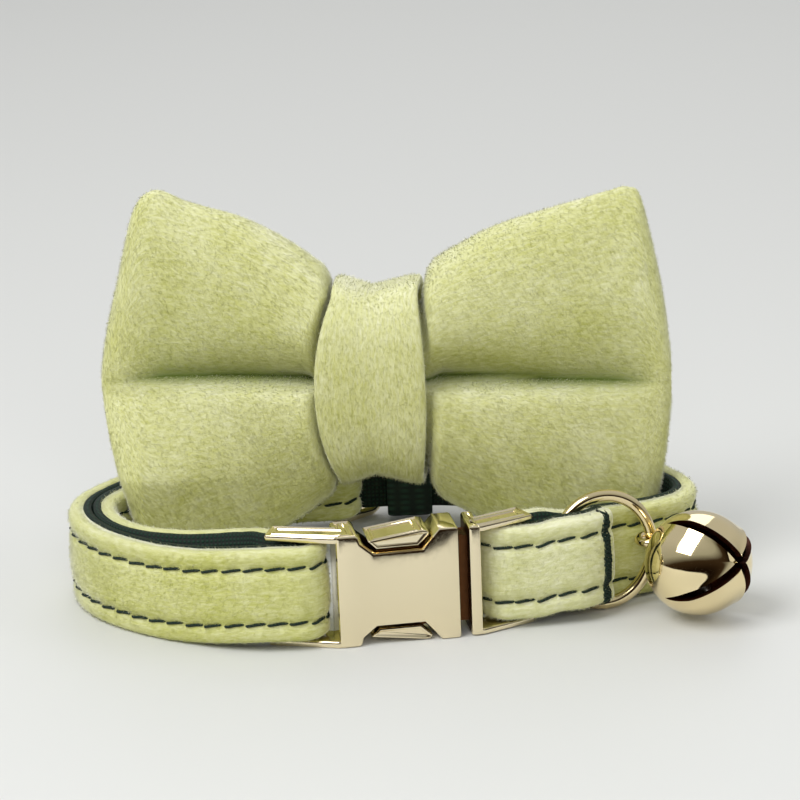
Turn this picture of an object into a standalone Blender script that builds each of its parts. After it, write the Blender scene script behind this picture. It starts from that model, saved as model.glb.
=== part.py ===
"""A pet's bow tie collar, lying as a closed loop with its bow standing inside it.

Metres, +Z up, the buckle faces -Y. The origin is under the middle of the whole
collar, at table height. Plan tables give shares of the loop's width and depth.
"""
import math

import bmesh
import bpy
import numpy as np
from mathutils import Matrix, Vector

# The loop of strap, seen from above.
LOOP_WIDTH = 0.0782
LOOP_DEPTH = 0.0486
PLAN_SHIFT_X = 0.00025
PLAN_SHIFT_Y = 0.00084
FLOOR_GAP = 0.00003

# The strap: velvet outside, webbing lining inside, sewn together.
STRAP_WIDTH = 0.0118
VELVET_THICK = 0.0015
LINING_THICK = 0.0010
PIECE_GAP = 0.0003
VELVET_EDGE = 0.00035
TRAVEL_STEP = 0.0026
LAYER_THICK = VELVET_THICK + PIECE_GAP + LINING_THICK
BACK_MIDDLE_ROW = 8

# The buckle: a housing on the left and a latch with two prongs on the right.
# Its arms leave room for the strap, which they hold off the table.
ARM_THICK = 0.0009
STRAP_LIFT = ARM_THICK + PIECE_GAP
BUCKLE_HEIGHT = STRAP_WIDTH + 2 * STRAP_LIFT
BUCKLE_DEPTH = 0.0062
BUCKLE_CORNER_X = -0.10614 * LOOP_WIDTH
BUCKLE_CORNER_Y = -0.53086 * LOOP_DEPTH
BUCKLE_YAW = math.radians(8.5)
ARM_BEND = math.radians(22.0)
HOUSING_WIDTH = 0.0149
HOUSING_ARM = 0.0089
HOUSING_BAR_REACH = 0.0056
HOUSING_BAR_BACK = 0.0019
ARM_DEPTH = 0.0036
BAR_RADIUS = 0.0007
EDGE_ROUND = 0.0004
POCKET_LEFT = 0.0034
POCKET_FRONT = 0.0013
POCKET_BACK = 0.0050
POCKET_WALL = 0.0013
NOTCH_DEPTH = 0.0024
PLATE_GAP = 0.0012
LATCH_LEFT = HOUSING_WIDTH + PLATE_GAP
LATCH_PLATE = 0.0015
LATCH_DROP = 0.0001
LATCH_ARM = 0.0074
LATCH_BAR_REACH = 0.0056
LATCH_BAR_BACK = 0.0027
GUIDE_REACH = 0.0026
PRONG_GAP = 0.00035
TAB_TURN = math.radians(25.0)
HOUSING_BAR_SHARES = (-0.17010, -0.46595)
LATCH_BAR_SHARES = (0.16063, -0.37099)

# The ring that hangs in the tab's fold, and its bell.
RING_HALF_WIDTH = 0.0061
RING_HALF_HEIGHT = 0.0070
RING_WIRE = 0.00075
RING_ALONG = 0.01174
RING_IN = 0.00248
RING_YAW = math.radians(10.0)
BELL_RADIUS = 0.0064
BELL_WALL = 0.0008
BELL_BEARING = math.radians(-47.3)
BELL_LIFT = 0.0008
BELL_STRETCH = 1.08
BELL_SLIT = 0.0008
BELL_AXIS = Vector((0.67, -0.70, 0.23))
BELL_SLIT_WAY = Vector((-0.47, -0.16, 0.86))
BELL_LOOP_RADIUS = 0.00162
BELL_LOOP_WIRE = 0.0005
BELL_LOOP_ANGLE = math.radians(7.0)
PELLET_RADIUS = 0.0016

# The slider at the back of the loop.
SLIDER_X = -0.0831 * LOOP_WIDTH
SLIDER_WIDTH = 0.0077
SLIDER_BAR = 0.0007
SLIDER_HEIGHT = STRAP_WIDTH + 0.0042
SLIDER_CORNER = 0.0017
FOLD_SWEEP = math.radians(100.0)

# The bow: one padded velvet piece, gathered by a knot band.
BOW_HALF_HEIGHT = 0.0248
BOW_CENTRE_Z = 0.0254
BOW_LEFT = 0.0349
BOW_RIGHT = 0.0374
BOW_THICK = 0.0062
BOW_X = -0.0031
BOW_Y = 0.0022
BOW_YAW = math.radians(-6.0)
CREASE_SPREAD = 0.15
CREASE_PLACE = 0.03
LOW_CORNER_PUSH = 0.0052
LOW_CORNER_TUCK = 0.0002
KNOT_WIDTH = 0.0140
KNOT_HALF_HEIGHT = 0.0118
KNOT_FLARE = 0.0018
KNOT_HALF_DEPTH = 0.0065
KNOT_WALL = 0.0020
PINCH_SHARES = (0.34, 0.12)
PINCH_FULL = 0.0095
PINCH_NONE = 0.0200
ELASTIC_WIDTH = 0.0060
ELASTIC_THICK = 0.0009
ELASTIC_X = 0.0008
ELASTIC_RISE = 0.0130

# One row per bend of the strap's outer face, from beside the latch round the
# right, the back and the left to beside the housing: share of width, share of
# depth, lift off the table as a share of STRAP_LIFT, and how far the bend keeps
# with the buckle's nearer bar when the loop's size changes.
LOOP_ROWS = (
    (0.4540, -0.1523, 0.04, 0.65),
    (0.4706, -0.0905, 0.04, 0.40),
    (0.4668, -0.0180, 0.04, 0.20),
    (0.4450, 0.0617, 0.08, 0.08),
    (0.3964, 0.1749, 0.33, 0.00),
    (0.3197, 0.2942, 0.75, 0.00),
    (0.2302, 0.3951, 1.17, 0.00),
    (0.1279, 0.4588, 1.50, 0.00),
    (0.0256, 0.4774, 1.67, 0.00),
    (-0.1023, 0.4712, 1.67, 0.00),
    (-0.2366, 0.4250, 1.45, 0.00),
    (-0.3555, 0.3290, 0.80, 0.00),
    (-0.4450, 0.2120, 0.30, 0.00),
    (-0.5026, 0.1193, 0.06, 0.00),
    (-0.5332, 0.0288, 0.04, 0.00),
    (-0.5409, -0.0617, 0.04, 0.08),
    (-0.5281, -0.1646, 0.04, 0.20),
    (-0.4923, -0.2716, 0.04, 0.40),
    (-0.4463, -0.3519, 0.04, 0.60),
    (-0.3913, -0.4198, 0.04, 0.80),
)

# One row per bend beside a bar of the buckle: how far to the right of it and
# how far behind it, as shares of that bar's arm, and the lift.
START_ROWS = (
    (1.1811, 0.4432, 0.40),
    (1.7349, 0.5877, 0.38),
    (2.3837, 0.8557, 0.25),
    (2.7895, 1.1256, 0.12),
)
END_ROWS = (
    (-1.4718, -0.0287, 0.25),
    (-1.0113, -0.2591, 0.65),
    (-0.6405, -0.3710, 0.90),
    (-0.4042, -0.4044, 1.00),
)
TAB_BACK_ROWS = (
    (1.0323, 0.8014, 0.30),
    (0.7890, 0.7473, 0.50),
    (0.5323, 0.6730, 0.88),
    (0.2620, 0.5716, 1.00),
)
TAB_FRONT_ROWS = (
    (0.4784, -0.4533, 1.00),
    (0.8165, -0.4204, 1.45),
    (1.2752, -0.3285, 1.55),
    (1.7211, 0.0065, 1.55),
)

# One row per bend of the returning inner layer, from the housing bar to the
# slider: index of the outer bend beside it counted from the last one, and the
# distance between the two velvet faces as a share of two layers and a gap.
RETURN_ROWS = (
    (1, 1.42),
    (2, 1.58),
    (3, 1.70),
    (4, 1.68),
    (5, 1.42),
    (6, 1.14),
    (7, 1.03),
    (8, 1.00),
    (9, 1.00),
    (10, 1.00),
    (11, 1.00),
    (12, 1.00),
    (13, 1.00),
    (14, 1.04),
)

# One row per section of the bow: share of the wing's length from the knot
# (minus is left), share of half height, share of thickness, depth of crease.
BOW_ROWS = (
    (-1.000, 0.06, 0.14, 0.00),
    (-0.990, 0.15, 0.22, 0.00),
    (-0.971, 0.28, 0.29, 0.04),
    (-0.945, 0.42, 0.34, 0.08),
    (-0.920, 0.545, 0.38, 0.12),
    (-0.890, 0.71, 0.41, 0.18),
    (-0.855, 0.88, 0.43, 0.27),
    (-0.820, 0.965, 0.44, 0.35),
    (-0.782, 1.000, 0.46, 0.44),
    (-0.656, 0.948, 0.56, 0.60),
    (-0.524, 0.880, 0.68, 0.70),
    (-0.390, 0.752, 0.80, 0.76),
    (-0.290, 0.635, 0.91, 0.78),
    (-0.250, 0.590, 0.95, 0.76),
    (-0.228, 0.545, 0.88, 0.66),
    (-0.209, 0.440, 0.71, 0.50),
    (-0.165, 0.400, 0.68, 0.40),
    (-0.070, 0.370, 0.64, 0.20),
    (0.070, 0.370, 0.64, 0.20),
    (0.155, 0.400, 0.68, 0.40),
    (0.195, 0.440, 0.71, 0.50),
    (0.212, 0.550, 0.88, 0.66),
    (0.232, 0.605, 0.95, 0.76),
    (0.270, 0.652, 0.92, 0.78),
    (0.330, 0.705, 0.86, 0.77),
    (0.400, 0.768, 0.80, 0.75),
    (0.490, 0.830, 0.72, 0.72),
    (0.600, 0.884, 0.62, 0.65),
    (0.710, 0.930, 0.53, 0.56),
    (0.805, 0.972, 0.47, 0.46),
    (0.866, 0.988, 0.44, 0.36),
    (0.905, 0.945, 0.42, 0.26),
    (0.935, 0.760, 0.38, 0.14),
    (0.962, 0.560, 0.34, 0.06),
    (0.982, 0.370, 0.28, 0.02),
    (1.000, 0.120, 0.14, 0.00),
)
BOW_HEIGHT_SHARES = (-1.0, -0.96, -0.84, -0.62, -0.38, -0.18, -0.07, 0.0)


def clear_scene():
    """Start from nothing."""
    for obj in list(bpy.data.objects):
        bpy.data.objects.remove(obj, do_unlink=True)


def principled(name, colour, metallic, roughness):
    """A plain material."""
    material = bpy.data.materials.new(name)
    material.use_nodes = True
    shader = material.node_tree.nodes["Principled BSDF"]
    shader.inputs["Base Color"].default_value = (*colour, 1.0)
    shader.inputs["Metallic"].default_value = metallic
    shader.inputs["Roughness"].default_value = roughness
    material.diffuse_color = (*colour, 1.0)
    return material


def new_object(name, vertices, faces, material, smooth=True):
    """A mesh object whose faces all point outward."""
    mesh = bpy.data.meshes.new(name)
    mesh.from_pydata([tuple(v) for v in vertices], [], [tuple(f) for f in faces])
    shell = bmesh.new()
    shell.from_mesh(mesh)
    bmesh.ops.recalc_face_normals(shell, faces=shell.faces)
    shell.to_mesh(mesh)
    shell.free()
    mesh.materials.append(material)
    mesh.polygons.foreach_set("use_smooth", [smooth] * len(mesh.polygons))
    obj = bpy.data.objects.new(name, mesh)
    bpy.context.scene.collection.objects.link(obj)
    return obj


def combine(target, tool, operation):
    """Join or cut with an exact boolean, then drop the tool."""
    modifier = target.modifiers.new(operation.lower(), "BOOLEAN")
    modifier.operation = operation
    modifier.solver = "EXACT"
    modifier.object = tool
    bpy.context.view_layer.update()
    graph = bpy.context.evaluated_depsgraph_get()
    mesh = bpy.data.meshes.new_from_object(target.evaluated_get(graph))
    target.modifiers.clear()
    target.data = mesh
    bpy.data.objects.remove(tool, do_unlink=True)


def round_edges(obj, width, least_angle):
    """Bevel the edges sharper than an angle."""
    shell = bmesh.new()
    shell.from_mesh(obj.data)
    edges = [e for e in shell.edges if e.is_manifold and e.calc_face_angle() > least_angle]
    bmesh.ops.bevel(
        shell,
        geom=edges,
        offset=width,
        offset_type="OFFSET",
        segments=2,
        profile=0.5,
        affect="EDGES",
        clamp_overlap=True,
    )
    shell.to_mesh(obj.data)
    shell.free()


def smooth_curve(points, step):
    """A centripetal spline through the points, sampled about every step."""
    points = np.asarray(points, float)
    ends = np.vstack([2 * points[0] - points[1], points, 2 * points[-1] - points[-2]])
    samples = []
    for before, start, stop, after in zip(ends[:-3], ends[1:-2], ends[2:-1], ends[3:]):
        count = max(1, int(round(np.linalg.norm((stop - start)[:2]) / step)))
        knots = [0.0]
        for one, two in ((before, start), (start, stop), (stop, after)):
            knots.append(knots[-1] + max(np.linalg.norm((two - one)[:2]), 1e-6) ** 0.5)
        t = np.linspace(knots[1], knots[2], count, endpoint=False)[:, None]
        a1 = (knots[1] - t) / (knots[1] - knots[0]) * before + (t - knots[0]) / (knots[1] - knots[0]) * start
        a2 = (knots[2] - t) / (knots[2] - knots[1]) * start + (t - knots[1]) / (knots[2] - knots[1]) * stop
        a3 = (knots[3] - t) / (knots[3] - knots[2]) * stop + (t - knots[2]) / (knots[3] - knots[2]) * after
        b1 = (knots[2] - t) / (knots[2] - knots[0]) * a1 + (t - knots[0]) / (knots[2] - knots[0]) * a2
        b2 = (knots[3] - t) / (knots[3] - knots[1]) * a2 + (t - knots[1]) / (knots[3] - knots[1]) * a3
        span = knots[2] - knots[1]
        samples.append((knots[2] - t) / span * b1 + (t - knots[1]) / span * b2)
    samples.append(points[-1:])
    return np.vstack(samples)


def left_normals(path):
    """Unit vectors to the left of the way of travel, in plan."""
    along = np.gradient(path[:, :2], axis=0)
    along /= np.linalg.norm(along, axis=1)[:, None]
    return np.stack([-along[:, 1], along[:, 0]], axis=1)


def arc(centre, radius, start, sweep, lift, steps):
    """Points on an arc round a bar, counterclockwise."""
    angles = start + sweep * np.linspace(0.0, 1.0, steps)
    x = centre[0] + radius * np.cos(angles)
    y = centre[1] + radius * np.sin(angles)
    return np.stack([x, y, np.full(steps, lift)], axis=1)


def buckle_point(u, v):
    """Plan position of a point given along and into the buckle."""
    x = BUCKLE_CORNER_X + u * math.cos(BUCKLE_YAW) - v * math.sin(BUCKLE_YAW)
    y = BUCKLE_CORNER_Y + u * math.sin(BUCKLE_YAW) + v * math.cos(BUCKLE_YAW)
    return x, y


def housing_bar():
    """Centre of the housing's strap bar, along and into the buckle."""
    u = -HOUSING_BAR_REACH * math.cos(ARM_BEND) + HOUSING_BAR_BACK * math.sin(ARM_BEND)
    v = HOUSING_BAR_REACH * math.sin(ARM_BEND) + HOUSING_BAR_BACK * math.cos(ARM_BEND)
    return u, v


def latch_bar():
    """Centre of the latch's strap bar, along and into the buckle."""
    right = LATCH_LEFT + LATCH_PLATE
    u = right + LATCH_BAR_REACH * math.cos(ARM_BEND) - LATCH_BAR_BACK * math.sin(ARM_BEND)
    v = LATCH_BAR_REACH * math.sin(ARM_BEND) + LATCH_BAR_BACK * math.cos(ARM_BEND)
    return u, v


def wrap_radius(bar_radius):
    """Radius of the velvet face where the strap goes round a bar."""
    return bar_radius + PIECE_GAP + LAYER_THICK


def beside(bar, arm, rows):
    """Bends of cloth placed from a bar of the buckle, in shares of its arm."""
    x, y = buckle_point(*bar)
    return [(x + along * arm, y + behind * arm, lift * STRAP_LIFT) for along, behind, lift in rows]


def loop_bends():
    """The loop's bends between the buckle's two ends."""
    bends = []
    for row, (x, y, lift, kept) in enumerate(LOOP_ROWS):
        right = row < BACK_MIDDLE_ROW
        bar = buckle_point(*(latch_bar() if right else housing_bar()))
        shares = LATCH_BAR_SHARES if right else HOUSING_BAR_SHARES
        moved_x = kept * (bar[0] - shares[0] * LOOP_WIDTH)
        moved_y = kept * (bar[1] - shares[1] * LOOP_DEPTH)
        bends.append((x * LOOP_WIDTH + moved_x, y * LOOP_DEPTH + moved_y, lift * STRAP_LIFT))
    return bends


def back_face(x):
    """Where the strap's outer face is at the back of the loop, by its X."""
    bends = np.array(loop_bends()[BACK_MIDDLE_ROW - 3:BACK_MIDDLE_ROW + 4])
    curve = smooth_curve(bends, TRAVEL_STEP)[::-1]
    return float(np.interp(x, curve[:, 0], curve[:, 1]))


def slider_bars():
    """Plan places of the slider's bars: the left one inside, the right outside."""
    inside = LAYER_THICK + PIECE_GAP + SLIDER_BAR
    outside = PIECE_GAP + SLIDER_BAR
    drop = inside + outside
    half = 0.5 * math.sqrt(SLIDER_WIDTH**2 - drop**2)
    left = (SLIDER_X - half, back_face(SLIDER_X - half) - inside)
    right = (SLIDER_X + half, back_face(SLIDER_X + half) + outside)
    return left, right


def strap_path():
    """The velvet face of the long strap, from under the tab to the slider."""
    outer = beside(latch_bar(), LATCH_ARM, START_ROWS)
    outer += loop_bends()
    outer += beside(housing_bar(), HOUSING_ARM, END_ROWS)
    outer_points = np.array(outer)
    normals = left_normals(outer_points)
    wrap = arc(
        buckle_point(*housing_bar()),
        wrap_radius(BAR_RADIUS),
        BUCKLE_YAW - ARM_BEND - math.pi / 2,
        math.pi,
        STRAP_LIFT,
        9,
    )
    two_layers = 2 * LAYER_THICK + PIECE_GAP
    back = []
    for index, share in RETURN_ROWS:
        row = len(outer) - index
        spot = outer_points[row, :2] + normals[row] * two_layers * share
        back.append((spot[0], spot[1], outer_points[row, 2]))
    fold = arc(
        slider_bars()[0],
        wrap_radius(SLIDER_BAR),
        -math.pi / 2 - 0.1,
        FOLD_SWEEP,
        LOOP_ROWS[BACK_MIDDLE_ROW][2] * STRAP_LIFT,
        7,
    )
    return smooth_curve(np.vstack([outer_points, wrap, back, fold]), TRAVEL_STEP)


def tab_path():
    """The velvet face of the short tab, round the latch's bar."""
    back = beside(latch_bar(), LATCH_ARM, TAB_BACK_ROWS)
    front = beside(latch_bar(), LATCH_ARM, TAB_FRONT_ROWS)
    start = BUCKLE_YAW + ARM_BEND + math.pi / 2 - TAB_TURN
    sweep = math.pi - math.radians(15.0) + TAB_TURN
    wrap = arc(buckle_point(*latch_bar()), wrap_radius(BAR_RADIUS), start, sweep, STRAP_LIFT, 9)
    return smooth_curve(np.vstack([back, wrap, front]), TRAVEL_STEP)


def strip(name, path, near, far, edge, material):
    """A band of cloth between two depths behind the velvet face of a path."""
    normals = left_normals(path)
    low = path[:, 2]
    high = path[:, 2] + STRAP_WIDTH
    corners = [(near, low + edge), (near, high - edge)]
    if edge > 0.0:
        corners += [(near + edge, high), (far, high), (far, low), (near + edge, low)]
    else:
        corners += [(far, high), (far, low)]
    rings = []
    for depth, height in corners:
        plan = path[:, :2] + normals * depth
        rings.append(np.column_stack([plan, height]))
    sides = len(corners)
    vertices = np.stack(rings, axis=1).reshape(-1, 3)
    faces = []
    for station in range(len(path) - 1):
        for side in range(sides):
            here = station * sides + side
            beside = station * sides + (side + 1) % sides
            faces.append((here, beside, beside + sides, here + sides))
    faces.append(tuple(range(sides)))
    last = (len(path) - 1) * sides
    faces.append(tuple(range(last + sides - 1, last - 1, -1)))
    return new_object(name, vertices, faces, material)


def prism(name, outline, low, high, material, axes="xyz"):
    """A straight solid over an outline, stretched along the third axis."""
    order = ["xyz".index(letter) for letter in axes]
    vertices = []
    for level in (low, high):
        for first, second in outline:
            point = [0.0, 0.0, 0.0]
            point[order[0]] = first
            point[order[1]] = second
            point[order[2]] = level
            vertices.append(point)
    count = len(outline)
    faces = [tuple(range(count)), tuple(range(2 * count - 1, count - 1, -1))]
    for index in range(count):
        after = (index + 1) % count
        faces.append((index, after, after + count, index + count))
    return new_object(name, vertices, faces, material, smooth=False)


def box(name, low, high, material):
    """A block between two corners."""
    outline = [(low[0], low[1]), (high[0], low[1]), (high[0], high[1]), (low[0], high[1])]
    return prism(name, outline, low[2], high[2], material)


def rod(name, centre, radius, low, high, material, sides=12):
    """An upright round bar."""
    turns = [2 * math.pi * k / sides for k in range(sides)]
    outline = [(centre[0] + radius * math.cos(t), centre[1] + radius * math.sin(t)) for t in turns]
    return prism(name, outline, low, high, material)


def tube(name, centres, radius, up, sides, material):
    """A round wire round a closed flat path; up is the path's normal."""
    centres = np.asarray(centres, float)
    up = np.asarray(up, float) / np.linalg.norm(up)
    along = np.roll(centres, -1, axis=0) - np.roll(centres, 1, axis=0)
    along /= np.linalg.norm(along, axis=1)[:, None]
    across = np.cross(along, up)
    turns = 2 * np.pi * np.arange(sides) / sides
    offset = across[:, None, :] * np.cos(turns)[None, :, None] + up * np.sin(turns)[None, :, None]
    vertices = (centres[:, None, :] + radius * offset).reshape(-1, 3)
    count = len(centres)
    faces = []
    for step in range(count):
        for side in range(sides):
            here = step * sides + side
            beside = step * sides + (side + 1) % sides
            there = (step + 1) % count * sides
            faces.append((here, beside, there + (side + 1) % sides, there + side))
    return new_object(name, vertices, faces, material)


def place_on_buckle(obj):
    """Stand a buckle piece, drawn along and into the buckle, in the collar."""
    obj.location = (BUCKLE_CORNER_X, BUCKLE_CORNER_Y, 0.0)
    obj.rotation_euler = (0.0, 0.0, BUCKLE_YAW)


def mirrored(outline):
    """The same outline, upside down in the buckle's height."""
    return [(u, BUCKLE_HEIGHT - w) for u, w in reversed(outline)]


def notch_outline():
    """The cut in the housing's top edge."""
    top = BUCKLE_HEIGHT
    floor = BUCKLE_HEIGHT - NOTCH_DEPTH
    width = HOUSING_WIDTH
    return [
        (0.18 * width, top),
        (0.20 * width, top - 0.45 * NOTCH_DEPTH),
        (0.31 * width, floor),
        (0.70 * width, floor),
        (0.84 * width, top),
    ]


def make_housing(gold):
    """The buckle's open box with two notches, arms and a strap bar."""
    notch = notch_outline()
    lower = mirrored(notch)
    outline = [(0.0, 0.0)] + sorted(lower, key=lambda p: p[0])
    outline += [(HOUSING_WIDTH, 0.0), (HOUSING_WIDTH, BUCKLE_HEIGHT)]
    outline += sorted(notch, key=lambda p: -p[0]) + [(0.0, BUCKLE_HEIGHT)]
    housing = prism("buckle_housing", outline, 0.0, BUCKLE_DEPTH, gold, "xzy")
    round_edges(housing, EDGE_ROUND, math.radians(60.0))
    pocket_low = (POCKET_LEFT, POCKET_FRONT, POCKET_WALL)
    pocket_high = (HOUSING_WIDTH + 0.002, POCKET_BACK, BUCKLE_HEIGHT - POCKET_WALL)
    combine(housing, box("pocket", pocket_low, pocket_high, gold), "DIFFERENCE")
    along = (-math.cos(ARM_BEND), math.sin(ARM_BEND))
    inward = (math.sin(ARM_BEND), math.cos(ARM_BEND))
    tip = (HOUSING_ARM * along[0], HOUSING_ARM * along[1])
    back = (tip[0] + ARM_DEPTH * inward[0], tip[1] + ARM_DEPTH * inward[1])
    root = 0.0009
    plan = [(root, 0.0005), (0.0, 0.0001), tip, back, (root, ARM_DEPTH + root * math.tan(ARM_BEND))]
    for low in (0.0, BUCKLE_HEIGHT - ARM_THICK):
        arm = prism("arm", plan, low, low + ARM_THICK, gold)
        round_edges(arm, 0.3 * ARM_THICK, math.radians(40.0))
        combine(housing, arm, "UNION")
    reach = ARM_THICK / 2
    bar = rod("bar", housing_bar(), BAR_RADIUS, reach, BUCKLE_HEIGHT - reach, gold)
    combine(housing, bar, "UNION")
    place_on_buckle(housing)
    return housing


def make_latch(gold):
    """The buckle's latch: plate, two sprung prongs, arms and a strap bar."""
    low = LATCH_DROP
    high = BUCKLE_HEIGHT - LATCH_DROP
    right = LATCH_LEFT + LATCH_PLATE
    latch = box("buckle_latch", (LATCH_LEFT, 0.0, low), (right, BUCKLE_DEPTH, high), gold)
    round_edges(latch, EDGE_ROUND, math.radians(60.0))
    along = (math.cos(ARM_BEND), math.sin(ARM_BEND))
    inward = (-math.sin(ARM_BEND), math.cos(ARM_BEND))
    tip = (right + LATCH_ARM * along[0], LATCH_ARM * along[1])
    back = (tip[0] + ARM_DEPTH * inward[0], tip[1] + ARM_DEPTH * inward[1])
    root = right - 0.0008
    plan = [(root, 0.0005), (right, 0.0001), tip, back, (root, ARM_DEPTH)]
    arm_thick = ARM_THICK - LATCH_DROP
    for level in (low, high - arm_thick):
        arm = prism("arm", plan, level, level + arm_thick, gold)
        round_edges(arm, 0.3 * arm_thick, math.radians(40.0))
        combine(latch, arm, "UNION")
    reach = low + arm_thick / 2
    bar = rod("bar", latch_bar(), BAR_RADIUS, reach, BUCKLE_HEIGHT - reach, gold)
    combine(latch, bar, "UNION")
    notch = notch_outline()
    floor = notch[2][1] + PRONG_GAP
    button = [
        (notch[1][0] + 0.0009, notch[1][1] + 0.0001),
        (notch[2][0] + 0.0003, floor),
        (notch[3][0] - 0.0004, floor),
        (notch[4][0] - 0.0011, BUCKLE_HEIGHT - 0.0006),
        (notch[4][0] - 0.0013, BUCKLE_HEIGHT - 0.0002),
        (notch[4][0] - 0.0020, BUCKLE_HEIGHT - 0.0001),
    ]
    stem_high = BUCKLE_HEIGHT - POCKET_WALL - PRONG_GAP
    stem_low = stem_high - 0.0014
    neck = [
        (notch[2][0] + 0.0003, stem_low - 0.0004),
        (LATCH_LEFT + 0.0005, stem_low),
        (LATCH_LEFT + 0.0005, stem_high),
        (notch[3][0] - 0.0002, stem_high),
        (notch[3][0] - 0.0004, floor + 0.0004),
        (notch[2][0] + 0.0005, floor + 0.0004),
    ]
    thin_front = POCKET_FRONT + PRONG_GAP
    thin_back = POCKET_BACK - PRONG_GAP
    for turn in (lambda p: p, mirrored):
        head = prism("head", turn(button), 0.0004, BUCKLE_DEPTH - 0.0004, gold, "xzy")
        round_edges(head, 0.00025, math.radians(50.0))
        stem = prism("stem", turn(neck), thin_front, thin_back, gold, "xzy")
        combine(head, stem, "UNION")
        combine(latch, head, "UNION")
    guide_low = (LATCH_LEFT - GUIDE_REACH, thin_front, BUCKLE_HEIGHT - stem_high)
    guide_high = (LATCH_LEFT + 0.0005, thin_back, stem_high)
    combine(latch, box("guide", guide_low, guide_high, gold), "UNION")
    place_on_buckle(latch)
    return latch


def ring_point(angle):
    """Centre of the ring's wire at an angle from its right end."""
    reach = RING_HALF_WIDTH * math.cos(angle)
    height = RING_HALF_HEIGHT + RING_WIRE + RING_HALF_HEIGHT * math.sin(angle)
    bar = buckle_point(*latch_bar())
    x = bar[0] + RING_ALONG + reach * math.cos(RING_YAW)
    y = bar[1] + RING_IN + reach * math.sin(RING_YAW)
    return np.array([x, y, height + FLOOR_GAP])


def make_ring(gold):
    """The oval wire ring."""
    count = 40
    centres = [ring_point(2 * math.pi * k / count) for k in range(count)]
    normal = (math.sin(RING_YAW), -math.cos(RING_YAW), 0.0)
    return tube("ring", centres, RING_WIRE, normal, 10, gold)


def ball(name, radius, material, segments, rings):
    """A round ball about the origin, poles on Z."""
    mesh = bpy.data.meshes.new(name)
    shell = bmesh.new()
    bmesh.ops.create_uvsphere(shell, u_segments=segments, v_segments=rings, radius=radius)
    shell.to_mesh(mesh)
    shell.free()
    mesh.materials.append(material)
    mesh.polygons.foreach_set("use_smooth", [True] * len(mesh.polygons))
    obj = bpy.data.objects.new(name, mesh)
    bpy.context.scene.collection.objects.link(obj)
    return obj


def bell_centre():
    """The bell's middle, hung close beside the ring's right end."""
    end = ring_point(0.0)
    height = BELL_RADIUS + BELL_LIFT
    reach = BELL_RADIUS + RING_WIRE + PIECE_GAP
    level = math.sqrt(reach**2 - (end[2] - height) ** 2)
    x = end[0] + level * math.cos(BELL_BEARING)
    y = end[1] + level * math.sin(BELL_BEARING)
    return Vector((x, y, height))


def make_bell(gold):
    """A hollow bell of four petals with a small loop round the ring."""
    bell = ball("bell", BELL_RADIUS, gold, 28, 18)
    inner = ball("inner", BELL_RADIUS - BELL_WALL, gold, 22, 14)
    combine(bell, inner, "DIFFERENCE")
    wide = 1.5 * BELL_RADIUS
    half = BELL_SLIT / 2
    back = -0.16 * BELL_RADIUS
    low = (-wide, -half, back)
    high = (wide, half, wide)
    combine(bell, box("slit", low, high, gold), "DIFFERENCE")
    low = (-half, -wide, back)
    high = (half, wide, wide)
    combine(bell, box("slit", low, high, gold), "DIFFERENCE")
    for vertex in bell.data.vertices:
        if vertex.co.z > 0.0:
            vertex.co.z *= BELL_STRETCH
    tip = BELL_AXIS.normalized()
    across = tip.cross(BELL_SLIT_WAY).normalized()
    turn = Matrix([across.cross(tip), across, tip]).transposed()
    bell.data.transform(turn.to_4x4())
    centre = bell_centre()
    bell.location = centre
    spot = Vector(ring_point(BELL_LOOP_ANGLE)) - centre
    wire = Vector(ring_point(BELL_LOOP_ANGLE + 0.05)) - Vector(ring_point(BELL_LOOP_ANGLE - 0.05))
    wire.normalize()
    side = wire.cross(spot).normalized()
    outward = side.cross(wire)
    count = 16
    turns = [2 * math.pi * k / count for k in range(count)]
    radius = BELL_LOOP_RADIUS
    loop = [spot + outward * radius * math.cos(t) + side * radius * math.sin(t) for t in turns]
    hoop = tube("hoop", loop, BELL_LOOP_WIRE, wire, 8, gold)
    hoop.location = centre
    combine(bell, hoop, "UNION")
    return bell


def make_pellet(gold):
    """The loose ball that lies in the bell."""
    pellet = ball("bell_pellet", PELLET_RADIUS, gold, 12, 8)
    pellet.location = bell_centre()
    pellet.location.z = BELL_LIFT + BELL_WALL + 2 * PIECE_GAP + PELLET_RADIUS
    return pellet


def make_slider(gold):
    """The upright ring that the strap passes through at the back."""
    left, right = np.array(slider_bars())
    middle = (left + right) / 2
    across = (right - left) / np.linalg.norm(right - left)
    half_width = np.linalg.norm(right - left) / 2
    low = SLIDER_BAR + FLOOR_GAP
    half_height = (SLIDER_HEIGHT - 2 * SLIDER_BAR) / 2
    centres = []
    corners = ((1, 1, 0.0), (-1, 1, 0.5), (-1, -1, 1.0), (1, -1, 1.5))
    for sign_u, sign_w, start in corners:
        for step in range(5):
            angle = math.pi * (start + 0.5 * step / 4)
            u = sign_u * (half_width - SLIDER_CORNER) + SLIDER_CORNER * math.cos(angle)
            w = sign_w * (half_height - SLIDER_CORNER) + SLIDER_CORNER * math.sin(angle)
            plan = middle + across * u
            centres.append((plan[0], plan[1], low + half_height + w))
    normal = (across[1], -across[0], 0.0)
    return tube("slider", centres, SLIDER_BAR, normal, 10, gold)


def pinched(points):
    """Draw the points beside the knot in towards it, most at its top and bottom."""
    far = np.clip((PINCH_NONE - np.abs(points[:, 0])) / (PINCH_NONE - PINCH_FULL), 0.0, 1.0)
    height = np.clip(np.abs(points[:, 2]) / KNOT_HALF_HEIGHT, 0.0, 1.0)
    share = np.where(points[:, 0] < 0.0, *PINCH_SHARES)
    along = points[:, 0] * (1.0 - share * height**2 * far)
    return np.column_stack([along, points[:, 1:]])


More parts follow.
